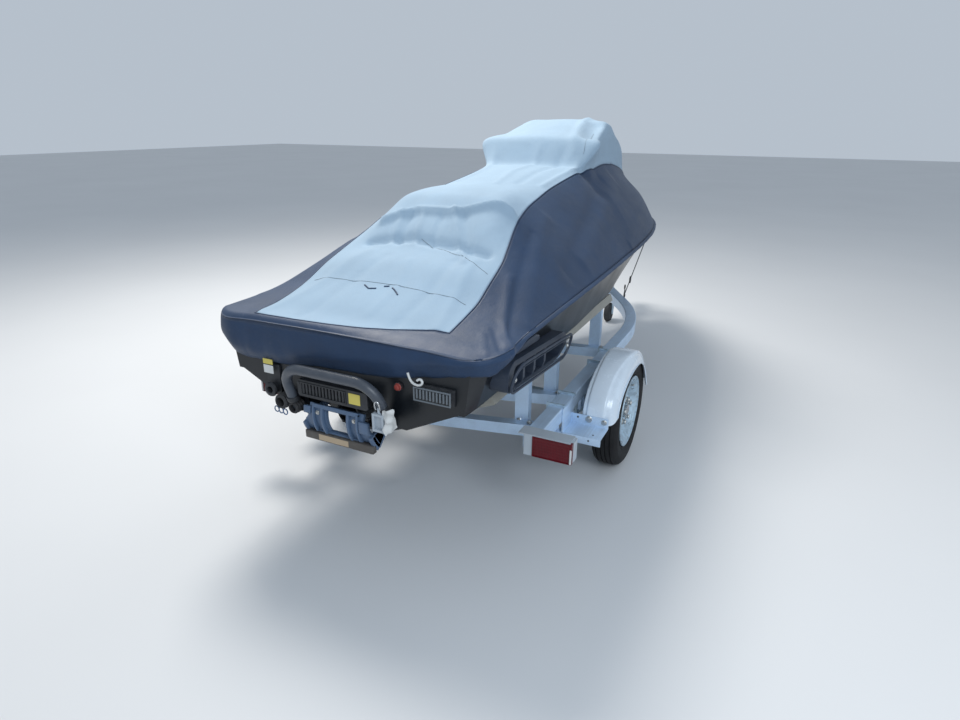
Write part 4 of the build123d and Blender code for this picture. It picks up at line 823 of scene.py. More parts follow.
@dataclass
class StorageCover:
    """The fitted cover: a pale top panel and dark panels to the hem, cut from one grid."""

    standoff: float = 0.014
    stern_edge: float = -1.144
    bow_edge: float = 2.345
    square: float = -0.86
    corner_from: float = 0.80
    corner_x: float = 0.470
    corner_y: float = -1.030
    bumper_x: float = 0.598
    roll: float = 0.016
    band_rows: int = 5
    blend_rows: int = 9
    pitch: float = 0.021
    pale_end: float = 1.856
    gaps: tuple[int, ...] = (5, 4, 6, 8, 8)
    skirt: tuple[tuple[float, float, float], ...] = (
        (0.10, 0.30, 0.008), (0.30, 0.62, 0.014), (0.55, 0.86, 0.016), (0.80, 1.0, 0.012),
        (0.93, 1.0, 0.003), (1.0, 1.0, -0.004))
    thick: float = 0.0016
    swell: float = 0.026
    gather: float = 0.0035
    welt_radius: float = 0.0024
    seam_radius: float = 0.0009
    loop_radius: float = 0.0032

    def stations(self) -> list[float]:
        """Gives the nominal stations of the rows ahead of the stern blend."""
        cuts = [self.square, self.pale_end, self.bow_edge]
        out: list[float] = []
        for a, b in zip(cuts, cuts[1:]):
            steps = max(2, round((b - a) / self.pitch))
            out += [a + (b - a) * i / steps for i in range(steps)]
        return [*out, self.bow_edge]

    def section(self, y: float, side: float) -> list[Vector]:
        """Gives one half section as (across, height) from the crown to the bumper."""
        _, seam_x, seam_z, ridge_x, ridge_z, crown = smooth_row(COVER_ROWS, y)
        _, bump_x, bump_z, _, _ = smooth_row(BUMPER_ROWS, y)
        bump_x += self.standoff
        swell = Vector(((bump_x + seam_x) / 2 + self.swell, (bump_z + seam_z) / 2, 0))
        knots = [Vector((0, crown, 0)), Vector((0.55 * ridge_x, ridge_z + 0.7 * (crown - ridge_z), 0)),
                 Vector((ridge_x, ridge_z, 0)), Vector((seam_x, seam_z, 0)), swell,
                 Vector((bump_x, bump_z, 0))]
        return [Vector((side * p.x, p.y, 0)) for p in smooth_path(knots, self.gaps)]

    def row(self, y: float) -> list[Vector]:
        """Gives a whole row, port bumper to starboard bumper, as axle-frame points."""
        port, starboard = self.section(y, -1.0), self.section(y, 1.0)
        flat = list(reversed(port[1:])) + starboard
        return [Vector((p.x, y, p.y)) for p in flat]

    def edge_at(self, share: float) -> tuple[float, float]:
        """Gives the stern outline's place for a share of the half width, with rounded corners."""
        size = abs(share)
        if size <= self.corner_from:
            return share / self.corner_from * self.corner_x, self.stern_edge
        turn = (size - self.corner_from) / (1 - self.corner_from) * math.pi / 2
        reach_x, reach_y = self.bumper_x - self.corner_x, self.corner_y - self.stern_edge
        across = self.corner_x + reach_x * math.sin(turn)
        return math.copysign(across, share), self.corner_y - reach_y * math.cos(turn)

    def stern_row(self, index: int) -> list[Vector]:
        """Gives a row between the stern's edge and the square part, bent round the stern's corners."""
        square = self.row(self.square)
        widest = square[-1].x
        out = []
        for j, p in enumerate(square):
            across, edge = self.edge_at(p.x / widest)
            seam = max(0.10, (smooth_row(STERN_ROWS, p.x)[1] - edge) / (self.square - edge))
            if index <= self.band_rows:
                t = seam * index / self.band_rows
            else:
                t = seam + (1 - seam) * (index - self.band_rows) / self.blend_rows
            x, y = across + (p.x - across) * t, edge + (self.square - edge) * t
            roll = max(0.0, 1 - index / self.band_rows) ** 2 * ease(-y, 1.05, 1.14)
            out.append(Vector((x, y, self.row(y)[j].z - self.roll * roll)))
        return out

    def grid(self) -> list[list[Vector]]:
        """Gives all rows, stern to bow."""
        rows = [self.stern_row(i) for i in range(self.band_rows + self.blend_rows)]
        rows += [self.row(y) for y in self.stations()]
        return rows

    def build(self) -> None:
        """Makes the two panels as one cloth that is cut at its seams."""
        rows = self.grid()
        count = len(rows[0])
        middle = count // 2
        seam = sum(self.gaps[:3])
        stations = self.stations()
        pale_rows = (self.band_rows, self.band_rows + self.blend_rows + stations.index(self.pale_end))
        verts = [p for row in rows for p in row]
        faces, tags = [], []
        for i in range(len(rows) - 1):
            for j in range(count - 1):
                a = i * count + j
                faces.append((a, a + 1, a + count + 1, a + count))
                inner = pale_rows[0] <= i < pale_rows[1] and middle - seam <= j < middle + seam
                tags.append(inner)
        ring = [i * count + count - 1 for i in range(len(rows) - 1, -1, -1)]
        ring += [j for j in range(count - 2, -1, -1)]
        ring += [i * count for i in range(1, len(rows))]
        ring += [(len(rows) - 1) * count + j for j in range(1, count - 1)]
        self.add_skirt(verts, faces, tags, ring)
        flat = self.flatten(verts, rows, count)
        pale = [face for face, tag in zip(faces, tags) if tag]
        dark = [face for face, tag in zip(faces, tags) if not tag]
        self.panel("cover_pale_panel", verts, pale, flat, "cover_pale", "cover_top")
        self.panel("cover_dark_panel", verts, dark, flat, "cover_dark", "cover_sides")
        self.welt(rows, pale_rows, middle, seam)
        self.seams()

    def welt(self, rows: list[list[Vector]], pale_rows: tuple[int, int], middle: int, seam: int) -> None:
        """Sews a narrow welt along the joint of the two panels."""
        first, last = pale_rows
        right = [rows[i][middle + seam] for i in range(first, last + 1)]
        left = [rows[i][middle - seam] for i in range(first, last + 1)]
        stern = rows[first][middle - seam:middle + seam + 1]
        bow = rows[last][middle - seam:middle + seam + 1]
        parts = [Bench.tube([at(*(p + self.crease(p))) for p in line], self.welt_radius, sides=2)
                 for line in (right, left, stern, bow)]
        finished(Bench.join(parts), "cover_welt", "cover_dark")

    def seams(self) -> None:
        """Lays the pale panel's stitched seams and dark loops on its surface."""
        cloth = bpy.data.objects["cover_pale_panel"]

        def drop(x: float, y: float, lift: float = 0.0004) -> Vector:
            """A place on the cloth under a point."""
            hit, spot, _, _ = cloth.ray_cast(at(x, y, 2.0), Vector((0, 0, -1)))
            return spot + Vector((0, 0, lift)) if hit else at(x, y, 1.0)

        def line(path: Sequence[tuple[float, float]], steps: int = 10) -> list[Vector]:
            """Places along a path that lies on the cloth."""
            out = []
            for (x0, y0), (x1, y1) in zip(path, path[1:]):
                out += [drop(x0 + (x1 - x0) * k / steps, y0 + (y1 - y0) * k / steps) for k in range(steps)]
            return [*out, drop(*path[-1])]

        across = ((-0.335, -0.830), (-0.10, -0.828), (0.10, -0.832), (0.30, -0.838), (0.352, -0.842))
        corner = ((-0.02, -0.520), (0.10, -0.560), (0.19, -0.600), (0.30, -0.645), (0.352, -0.665))
        shoulder = ((0.24, 0.94), (0.262, 0.80), (0.276, 0.66))
        for name, path in (("deck", across), ("seat", corner), ("bar", shoulder)):
            finished(Bench.tube(line(path), self.seam_radius, sides=2), f"cover_seam_{name}", "cover_pale",
                     finish="seam_dark")
        loops = [Bench.tube(line(path, 4), self.loop_radius, sides=2) for path in (
            ((-0.075, -0.850), (-0.045, -0.868), (-0.015, -0.862)), ((0.010, -0.845), (0.030, -0.840)),
            ((0.050, -0.850), (0.078, -0.868), (0.092, -0.880)))]
        finished(Bench.join(loops), "cover_loops", "cover_dark")

    def add_skirt(self, verts: list[Vector], faces: list[tuple[int, ...]], tags: list[bool],
                  ring: list[int]) -> None:
        """Extrudes the outline down to the hem, over the bumper and slightly in.

        Args:
            verts: the cloth's points, which the skirt's are added to.
            faces: the cloth's faces, which the skirt's are added to.
            tags: True for a pale face, one for each face.
            ring: the outline's points in order, seen from above turning to port at the stern.
        """
        base = [verts[i].copy() for i in ring]
        count = len(base)
        run = 0.0
        levels = []
        for k, spot in enumerate(base):
            before, after = base[k - 1], base[(k + 1) % count]
            run += (spot - before).length
            along = Vector((after.x - before.x, after.y - before.y, 0)).normalized()
            out = Vector((-along.y, along.x, 0))
            if out.dot(Vector((spot.x, spot.y - 0.3, 0))) < 0:
                out = -out
            _, _, top, inset, hem = smooth_row(BUMPER_ROWS, spot.y)
            _, _, fold, stern_hem = smooth_row(STERN_ROWS, spot.x)
            stern = ease(-spot.y, 0.86, 1.08)
            hem += (stern_hem - hem) * stern
            tuck = (top - hem) * 0.4
            fold = hem + tuck + (fold - hem - tuck) * stern
            gather = (0.5 * math.sin(run * 61) + 0.3 * math.sin(run * 143 + 1.7)
                      + 0.2 * math.sin(run * 29 + 0.6))
            levels.append((spot, out, top, fold, hem, inset, gather, stern))
        last = ring
        for share, fall, bulge in self.skirt:
            made = []
            for spot, out, top, fold, hem, inset, gather, stern in levels:
                below = (share - 0.8) / 0.2
                height = top + (fold - top) * fall if share < 0.85 else fold + (hem - fold) * below
                swing = bulge * (1 - 0.35 * stern) - inset * share - 0.012 * stern * max(0.0, below)
                swing += self.gather * (1 + stern) * gather * share
                height += (self.gather + 0.003 * stern) * gather * max(0.0, share - 0.5) * 2
                made.append(len(verts))
                verts.append(Vector((spot.x, spot.y, 0)) + out * swing + Vector((0, 0, height)))
            for k in range(count):
                n = (k + 1) % count
                faces.append((last[k], made[k], made[n], last[n]))
                tags.append(False)
            last = made

    @staticmethod
    def crease(spot: Vector) -> Vector:
        """Gives how far the creases and swells move a point of the cloth."""
        moved = Vector((0, 0, 0))
        for fold in FOLDS:
            reach = 2.6 * fold.reach
            nearest = reach
            for start, stop in zip(fold.line, fold.line[1:]):
                a, axis = Vector(start[:2]), Vector(stop[:2]) - Vector(start[:2])
                away = spot.xy - a
                if abs(away.x) > reach + abs(axis.x) or abs(away.y) > reach + abs(axis.y):
                    continue
                t = min(max(away.dot(axis) / axis.length_squared, 0.0), 1.0)
                height = abs(spot.z - start[2] - (stop[2] - start[2]) * t)
                nearest = min(nearest, (away - axis * t).length + 0.25 * max(0.0, height - 0.06))
            if nearest < reach:
                moved += Vector(fold.toward) * (fold.rise * math.exp(-(nearest / fold.reach) ** 2))
        return moved

    @staticmethod
    def flatten(verts: list[Vector], rows: list[list[Vector]], count: int) -> list[tuple[float, float]]:
        """Gives each point its place on the flat cloth, in metres."""
        flat: list[tuple[float, float]] = []
        middle = count // 2
        for i in range(len(rows)):
            line = verts[i * count:(i + 1) * count]
            across = [0.0] * count
            for j in range(middle + 1, count):
                across[j] = across[j - 1] + (line[j] - line[j - 1]).length
            for j in range(middle - 1, -1, -1):
                across[j] = across[j + 1] - (line[j] - line[j + 1]).length
            flat += [(a, p.y) for a, p in zip(across, line)]
        for v in verts[len(flat):]:
            flat.append((v.x + math.copysign(0.9 - v.z, v.x), v.y + (v.z - 0.9 if v.y < -1 else 0)))
        return flat

    def panel(self, name: str, verts: list[Vector], faces: list[tuple[int, ...]],
              flat: list[tuple[float, float]], slot: str, node: str) -> None:
        """Makes one panel of the cloth from its faces.

        Args:
            name: piece's name.
            verts: points of the whole cloth.
            faces: faces of this panel.
            flat: flat place of each point.
            slot: material slot.
            node: CAD node that the panel stands for.
        """
        used = sorted({i for f in faces for i in f})
        new = {old: k for k, old in enumerate(used)}
        mesh = bpy.data.meshes.new(name)
        mesh.from_pydata([at(*verts[i]) for i in used], [], [[new[i] for i in f] for f in faces])
        layer = mesh.uv_layers.new(name="flat")
        for polygon in mesh.polygons:
            for corner in polygon.loop_indices:
                layer.data[corner].uv = flat[used[mesh.loops[corner].vertex_index]]
        piece = adopt(name, mesh)
        for polygon in mesh.polygons:
            polygon.use_smooth = True
        area = sum(p.area for p in mesh.polygons)
        Bench.apply(piece, "SUBSURF", levels=1, render_levels=1)
        shift = at(0, 0, 0)
        for vertex in piece.data.vertices:
            vertex.co += self.crease(vertex.co - shift)
        Bench.apply(piece, "SOLIDIFY", thickness=self.thick, offset=-1.0)
        finished(piece, name, slot)
        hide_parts(node)
        LOG.info("%s measures %.3f square metres", name, area)


# Stern

# Station and height of the gate's pivot and of the boarding step's.
GATE_PIVOT = (-1.038, 0.555)
STEP_PIVOT = (-1.138, 0.555)


def ring_sector(inner: float, outer: float, low: float, high: float, x: float,
                step: float = 6.0) -> list[Vector]:
    """Outlines a sector about the gate's pivot, in degrees above level, facing aft.

    Args:
        inner: inner radius.
        outer: outer radius.
        low: lower end.
        high: upper end.
        x: station across.
        step: degrees between points.

    Returns:
        Corners in order.
    """
    pivot_y, pivot_z = GATE_PIVOT
    count = max(2, round((high - low) / step))
    turns = [math.radians(low + (high - low) * i / count) for i in range(count + 1)]
    arc = [(outer, t) for t in turns] + [(inner, t) for t in reversed(turns)]
    return [at(x, pivot_y - r * math.cos(t), pivot_z + r * math.sin(t)) for r, t in arc]


@dataclass
class GateDress:
    """Ribs, wings, lip and end walls of the reverse gate."""

    radius: float = 0.127
    half: float = 0.152
    body: str = "gate"
    lip_face: float = -1.163
    lip_depth: float = 0.023
    lip_low: float = 0.450
    lip_high: float = 0.482
    # Start across, width, lower and upper end in degrees, depth below and rise above the gate's round,
    # step between points in degrees, bevel.
    ridges: tuple[tuple[float, ...], ...] = (
        (-0.062, 0.010, -46, 20, 0.002, 0.013, 6, 0.002), (0.052, 0.010, -46, 20, 0.002, 0.013, 6, 0.002),
        (-0.100, 0.008, -30, 18, 0.002, 0.013, 6, 0.002), (0.092, 0.008, -30, 18, 0.002, 0.013, 6, 0.002),
        (-0.100, 0.200, 14, 20, 0.002, 0.012, 2, 0.002), (-0.100, 0.200, -36, -31, 0.002, 0.008, 2, 0.002),
        (-0.152, 0.012, -48, -16, 0.050, 0.012, 6, 0.003), (0.140, 0.012, -48, -16, 0.050, 0.012, 6, 0.003),
        (-0.140, 0.032, 2, 14, 0.006, 0.010, 4, 0.003), (0.102, 0.040, -12, 8, 0.006, 0.010, 4, 0.003))

    def build(self) -> None:
        """Makes the gate's raised parts, which turn with it."""
        lip = Bench.block(at(-self.half, self.lip_face, self.lip_low),
                          at(self.half, self.lip_face + self.lip_depth, self.lip_high), 0.004, 3)
        finished(lip, "gate_lip", "gate_plastic", self.body, "dirty_lip")
        parts = []
        for x, wide, low, high, under, rise, step, edge in self.ridges:
            outline = ring_sector(self.radius - under, self.radius + rise, low, high, x, step)
            parts.append(Bench.prism(outline, Vector((wide, 0, 0)), edge))
        finished(Bench.join(parts), "gate_ribs", "gate_plastic", self.body)
        plate = Bench.block(at(-0.088, self.lip_face - 0.0006, self.lip_low + 0.0045),
                            at(0.045, self.lip_face + 0.0010, self.lip_high - 0.0045), 0.0004, 1)
        finished(plate, "gate_blank_plate", "gate_plastic", self.body, "sticker_tan")
        turning = [(0, 0), (0, 0.015), (0.010, 0.015), (0.013, 0.011),
                   (0.013, 0.006), (0.009, 0.005), (0.009, 0)]
        knob = Bench.lathe(turning, at(0.068, -1.135, 0.505), Vector((0, -0.9, 0.45)), 20)
        bolts = Bench.scatter(Bench.bolt(0.006), [(at(x, -1.1645, 0.566), BACK) for x in (-0.083, 0.078)])
        finished(Bench.join([knob, bolts]), "gate_fasteners", "steel", self.body, "zinc")


@dataclass
class SternDress:
    """Small parts of the stern: grille frame, plates, plug, hook, bushes, step trim and the clip's tag."""

    face: float = -1.120
    grille_rear: float = -1.178
    plate_rise: float = 0.022
    step_half: float = 0.203
    step_lean: float = 18.0

    @staticmethod
    def frame_edge(x0: float, x1: float, y: float, z0: float, z1: float, depth: float,
                   rim: float) -> bpy.types.Object:
        """Makes a rectangular frame that stands back from a face."""
        outline = [at(x, y, z) for x, z in ((x0, z0), (x1, z0), (x1, z1), (x0, z1))]
        return Bench.prism(outline, Vector((0, -depth, 0)), 0.001, rim=rim)

    def grille(self) -> None:
        """Frames the grille and puts a blank patch beside its slots."""
        rear = self.grille_rear
        edge = self.frame_edge(-0.136, 0.062, rear + 0.001, 0.634, 0.682, 0.004, 0.004)
        button = [(0, 0), (0, 0.007), (0.003, 0.006), (0.003, 0)]
        cheek = Bench.lathe(button, at(-0.145, rear, 0.676), BACK, 16)
        finished(Bench.join([edge, cheek]), "grille_frame", "black_plastic")
        patch = Bench.block(at(0.074, rear - 0.0015, 0.640), at(0.122, rear + 0.001, 0.680), 0.0006, 1)
        finished(patch, "grille_blank_patch", "black_plastic", finish="sticker_yellow")

    def plates(self) -> None:
        """Dresses the port plate, its eye and the ribbed plate to starboard."""
        face = self.face - self.plate_rise
        for name, low, high, finish in (("upper", 0.704, 0.724, "sticker_yellow"),
                                        ("lower", 0.668, 0.700, "sticker_white")):
            plate = Bench.block(at(-0.342, face - 0.0015, low), at(-0.296, face + 0.001, high), 0.0005, 1)
            finished(plate, f"port_blank_plate_{name}", "black_plastic", finish=finish)
        eye = Bench.lathe([(0, 0.013), (0, 0.026), (0.006, 0.029), (0.013, 0.026), (0.016, 0.018),
                           (0.013, 0.013), (0, 0.013)], at(-0.312, face, 0.606), BACK, 32)
        finished(eye, "port_eye_ring", "black_plastic")
        rim = self.frame_edge(0.316, 0.456, face - 0.001, 0.690, 0.740, 0.005, 0.005)
        ribs = [Bench.block(at(0.326 + 0.0125 * i, face - 0.005, 0.699),
                            at(0.332 + 0.0125 * i, face + 0.001, 0.733), 0.001, 1) for i in range(10)]
        finished(Bench.join([rim, *ribs]), "vent_frame", "grey_plastic", finish="vent_edge")

    def bushes(self) -> None:
        """Makes the two ribbed bushes to port, and the hose rings."""
        profile = [(0, 0.018), (0, 0.026), (0.006, 0.030), (0.012, 0.026), (0.018, 0.030), (0.024, 0.026),
                   (0.030, 0.030), (0.036, 0.026), (0.042, 0.029), (0.048, 0.024), (0.048, 0.018), (0, 0.018)]
        for name, x, z, scale in (("outlet_bush", -0.254, 0.573, 1.0), ("drain_bush", -0.196, 0.560, 0.8)):
            bush = Bench.lathe([(a, r * scale) for a, r in profile], at(x, self.face - 0.001, z), BACK, 40)
            finished(bush, name, "rubber")
        loops = [Bench.tube(ellipse(at(-0.293 + 0.0235 * i, -1.150 - 0.003 * i, 0.530),
                                    Vector((0.011, 0, 0)), Vector((0, 0, 0.012)), 8), 0.0022, closed=True)
                 for i in range(3)]
        finished(Bench.join(loops), "hose_rings", "black_plastic", finish="blue_ring")

    def small(self) -> None:
        """Makes the red plug and the curled pale hook."""
        plug = Bench.lathe([(0, 0), (0, 0.016), (0.006, 0.016), (0.010, 0.011), (0.016, 0.010),
                            (0.018, 0.006), (0.018, 0)], at(0.244, self.face, 0.716), BACK, 24)
        finished(plug, "flush_plug", "black_plastic", finish="red_plastic")
        hook = Bench.tube([at(*p) for p in (
            (0.300, -1.150, 0.786), (0.306, -1.152, 0.770), (0.318, -1.153, 0.754), (0.340, -1.154, 0.749),
            (0.357, -1.155, 0.757), (0.358, -1.155, 0.770), (0.346, -1.155, 0.775), (0.338, -1.155, 0.767))],
                          0.0042)
        finished(hook, "hem_hook", "lamp_body", finish="sticker_white")

    def place(self, x: float, along: float) -> Vector:
        """Gives a place in the stowed step's plane, a way up from its pivot."""
        lean = math.radians(self.step_lean)
        return at(x, STEP_PIVOT[0] - along * math.sin(lean), STEP_PIVOT[1] + along * math.cos(lean))

    def step(self) -> None:
        """Puts end collars, a ribbed sleeve and the clip's shackle on the boarding step."""
        half = self.step_half
        way = self.place(0, 1) - self.place(0, 0)
        collars = [Bench.lathe([(0, 0.019), (0, 0.023), (0.004, 0.0245), (0.016, 0.0245), (0.020, 0.023),
                                (0.020, 0.019), (0, 0.019)], self.place(x, 0.034), way, 32)
                   for x in (-half, half)]
        grips = [Bench.lathe([(0, 0.0185), (0.001, 0.0205), (0.004, 0.0205), (0.005, 0.0185), (0, 0.0185)],
                             self.place(half, 0.060 + 0.0075 * i), way, 24) for i in range(6)]
        finished(Bench.join(collars + grips), "step_collars", "black_plastic", "step")
        pins = [Bench.lathe([(-0.016, 0), (-0.016, 0.008), (-0.013, 0.0095), (0.013, 0.0095),
                             (0.016, 0.008), (0.016, 0)], self.place(x, 0.0), Vector((1, 0, 0)), 20)
                for x in (-half, half)]
        shackle = Bench.tube([at(*p) for p in (
            (0.195, -1.190, 0.648), (0.193, -1.196, 0.664), (0.199, -1.198, 0.680), (0.208, -1.198, 0.682),
            (0.214, -1.196, 0.668), (0.212, -1.190, 0.650))], 0.0032)
        finished(Bench.join([*pins, shackle]), "step_pins", "steel", "step")

    def tag(self) -> None:
        """Hangs a crumpled blank tag from the clip."""
        columns, rows = 11, 13
        verts, faces = [], []
        corners = [Vector(p) for p in ((0.222, 0.650), (0.262, 0.664), (0.232, 0.560), (0.284, 0.606))]
        for j in range(rows):
            for i in range(columns):
                u, v = i / (columns - 1), j / (rows - 1)
                spot = corners[0].lerp(corners[1], u).lerp(corners[2].lerp(corners[3], u), v)
                ripple = 0.006 * math.sin(7 * u + 5 * v) + 0.004 * math.sin(13 * v - 6 * u + 1)
                nick = 0.006 * math.sin(9 * u) * v + 0.004 * math.sin(11 * v)
                verts.append(at(spot.x + nick * (2 * u - 1), -1.196 + ripple, spot.y + 0.5 * nick))
        for j in range(rows - 1):
            for i in range(columns - 1):
                a = j * columns + i
                faces.append((a, a + columns, a + columns + 1, a + 1))
        mesh = bpy.data.meshes.new("tag")
        mesh.from_pydata(verts, [], faces)
        piece = adopt("tag", mesh)
        Bench.apply(piece, "SUBSURF", levels=1, render_levels=1)
        Bench.apply(piece, "SOLIDIFY", thickness=0.0006, offset=0.0)
        Bench.smooth(piece, 50)
        finished(piece, "clip_tag", "lamp_body", "step", "sticker_white")

    def build(self) -> None:
        """Makes all of the stern's small parts."""
        self.grille()
        self.plates()
        self.bushes()
        self.small()
        self.step()
        self.tag()


@dataclass
class SponsonDress:
    """Rim, screws and upper fin of the sponson on each side."""

    rear: float = -1.007
    length: float = 0.590
    height: float = 0.116
    drop: float = 0.050
    centre: float = 0.756
    depth: float = 0.068
    fin_line: tuple[tuple[float, float], ...] = (
        (-0.905, 0.812), (-0.880, 0.834), (-0.830, 0.846), (-0.760, 0.846), (-0.715, 0.830), (-0.700, 0.806))

    def wall(self, y: float, z: float) -> float:
        """Gives the hull side's half width at a place."""
        _, x, top, _, _ = smooth_row(BUMPER_ROWS, y)
        return x - (top - z) * (0.27 - 0.02 * (y + 1))

    def rim_point(self, turn: float, side: float, inset: float, out: float) -> Vector:
        """Gives a point of the slot outline at an angle."""
        h = self.height / 2 - inset
        straight = self.length / 2 - self.height / 2
        along = math.copysign(straight, math.cos(turn)) + h * math.cos(turn)
        rise = h * math.sin(turn)
        slope = math.atan2(self.drop, self.length)
        y = self.rear + self.length / 2 + along * math.cos(slope) + rise * math.sin(slope)
        z = self.centre - self.drop / 2 - along * math.sin(slope) + rise * math.cos(slope)
        return at(side * (self.wall(y, z) + self.depth + out), y, z)

    def build(self) -> None:
        """Makes both sides' dress."""
        for name, side in (("starboard", 1.0), ("port", -1.0)):
            turns = [2 * math.pi * (k + 0.5) / 48 for k in range(48)]
            lip = Bench.tube([self.rim_point(t, side, 0.005, -0.001) for t in turns], 0.0052, closed=True)
            inner = Bench.tube([self.rim_point(t, side, 0.019, -0.001) for t in turns], 0.0024, closed=True)
            out = Vector((side, 0, 0))
            screws = Bench.scatter(Bench.bolt(0.007, 0.004),
                                   [(self.rim_point(t, side, 0.030, -0.004), out) for t in (0.0, math.pi)])
            fin = self.fin(side)
            finished(Bench.join([lip, inner, fin]), f"sponson_rim_{name}", "grey_plastic")
            finished(screws, f"sponson_screws_{name}", "steel", finish="zinc")

    def fin(self, side: float) -> bpy.types.Object:
        """Makes the low fin above the sponson's middle."""
        points = [at(side * (self.wall(y, z) + 0.002), y, z) for y, z in self.fin_line]
        return Bench.prism(points, Vector((side * 0.018, 0, 0)), 0.006, steps=3)


# Trailer


@dataclass
class RunningGear:
    """Dress of one wheel: tyre with its tread, rim flange, nuts and valve."""

    name: str
    side: float
    x: float = 0.733
    radius: float = 0.2655
    steps: int = 120
    pitch: int = 4
    tread_foot: float = 0.2610
    tread_margin: float = 0.0016
    tread_depth: float = 0.0045
    stud_circle: float = 0.057
    disc_depth: float = 0.020
    # Half of the section from the middle of the tread to the bead, as (across, radius).
    half_section: tuple[tuple[float, float], ...] = (
        (0.007, 0.2655), (0.0075, 0.2595), (0.0115, 0.2595), (0.012, 0.2655), (0.029, 0.2650),
        (0.0295, 0.2585), (0.0335, 0.2585), (0.034, 0.2640), (0.047, 0.2595), (0.0525, 0.254),
        (0.058, 0.244), (0.0608, 0.228), (0.0605, 0.212), (0.056, 0.192), (0.052, 0.176), (0.044, 0.168))

    @property
    def hub(self) -> Vector:
        """Gives the wheel's centre."""
        return at(self.x * self.side, 0, self.radius)

    def tyre(self) -> None:
        """Turns a tyre and cuts its tread."""
        hub, axis = self.hub, Vector((1, 0, 0))
        inner = [(-a, r) for a, r in reversed(self.half_section)]
        tyre = Bench.lathe([*inner, *self.half_section, inner[0]], hub, axis, self.steps)
        focus(tyre)
        for polygon in tyre.data.polygons:
            spot = polygon.center - hub
            turn = math.atan2(spot.z, spot.y) / (2 * math.pi) * self.steps
            far = math.hypot(spot.y, spot.z) > self.tread_foot
            shift = 1.5 if abs(spot.x) > 0.02 else 0.0
            polygon.select = far and math.floor(turn + shift + 0.01) % self.pitch == 0
        bpy.ops.object.mode_set(mode="EDIT")
        bpy.ops.mesh.select_mode(type="FACE")
        bpy.ops.mesh.inset(thickness=self.tread_margin)
        bpy.ops.mesh.extrude_region_shrink_fatten(TRANSFORM_OT_shrink_fatten={"value": -self.tread_depth})
        bpy.ops.mesh.select_mode(type="VERT")
        bpy.ops.object.mode_set(mode="OBJECT")
        Bench.smooth(tyre, 28)
        beads = [Bench.lathe([(a, r), (a + d, r + 0.0022), (a, r + 0.0044), (a - d, r + 0.0022), (a, r)],
                             hub, axis, 96)
                 for a, r, d in ((0.0585, 0.236, 0.002), (-0.0585, 0.236, -0.002),
                                 (0.0545, 0.187, 0.002), (-0.0545, 0.187, -0.002))]
        piece = finished(Bench.join([tyre, *beads]), f"tyre_tread_{self.name}", "tyre", f"wheel_{self.name}")
        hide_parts(f"tyre_{self.name}")

    def rim(self) -> None:
        """Adds a rolled flange, lug nuts and a valve."""
        hub, out, body = self.hub, Vector((self.side, 0, 0)), f"wheel_{self.name}"
        flange = Bench.lathe([(0.050, 0.1645), (0.0545, 0.1625), (0.0575, 0.1655), (0.0565, 0.1695),
                              (0.0525, 0.1705), (0.050, 0.1645)], hub, out, 96)
        groove = Bench.lathe([(0.022, 0.1450), (0.026, 0.1430), (0.030, 0.1450), (0.022, 0.1450)],
                             hub, out, 96)
        finished(Bench.join([flange, groove]), f"rim_flange_{self.name}", "galvanised", body)
        centre = at(self.side * self.disc_face(), 0, self.radius)
        spots = ellipse(centre, Vector((0, 0, self.stud_circle)), Vector((0, self.stud_circle, 0)), 5)
        nuts = Bench.scatter(Bench.bolt(0.0115, 0.014), [(spot, out) for spot in spots])
        stem = [(0, 0), (0, 0.0045), (0.022, 0.004), (0.024, 0.0055), (0.034, 0.0055), (0.034, 0)]
        foot = hub + Vector((0.030 * self.side, 0.0, 0.128))
        valve = Bench.lathe(stem, foot, Vector((self.side, 0, 0.25)), 16)
        finished(Bench.join([nuts, valve]), f"wheel_nuts_{self.name}", "steel", body, "zinc")

    def disc_face(self) -> float:
        """Gives the half width at which the nuts sit on the wheel's disc."""
        low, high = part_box(f"rim_{self.name}")
        return max(abs(low.x), abs(high.x)) - self.disc_depth

    def build(self) -> None:
        """Makes the wheel's dress."""
        self.tyre()
        self.rim()


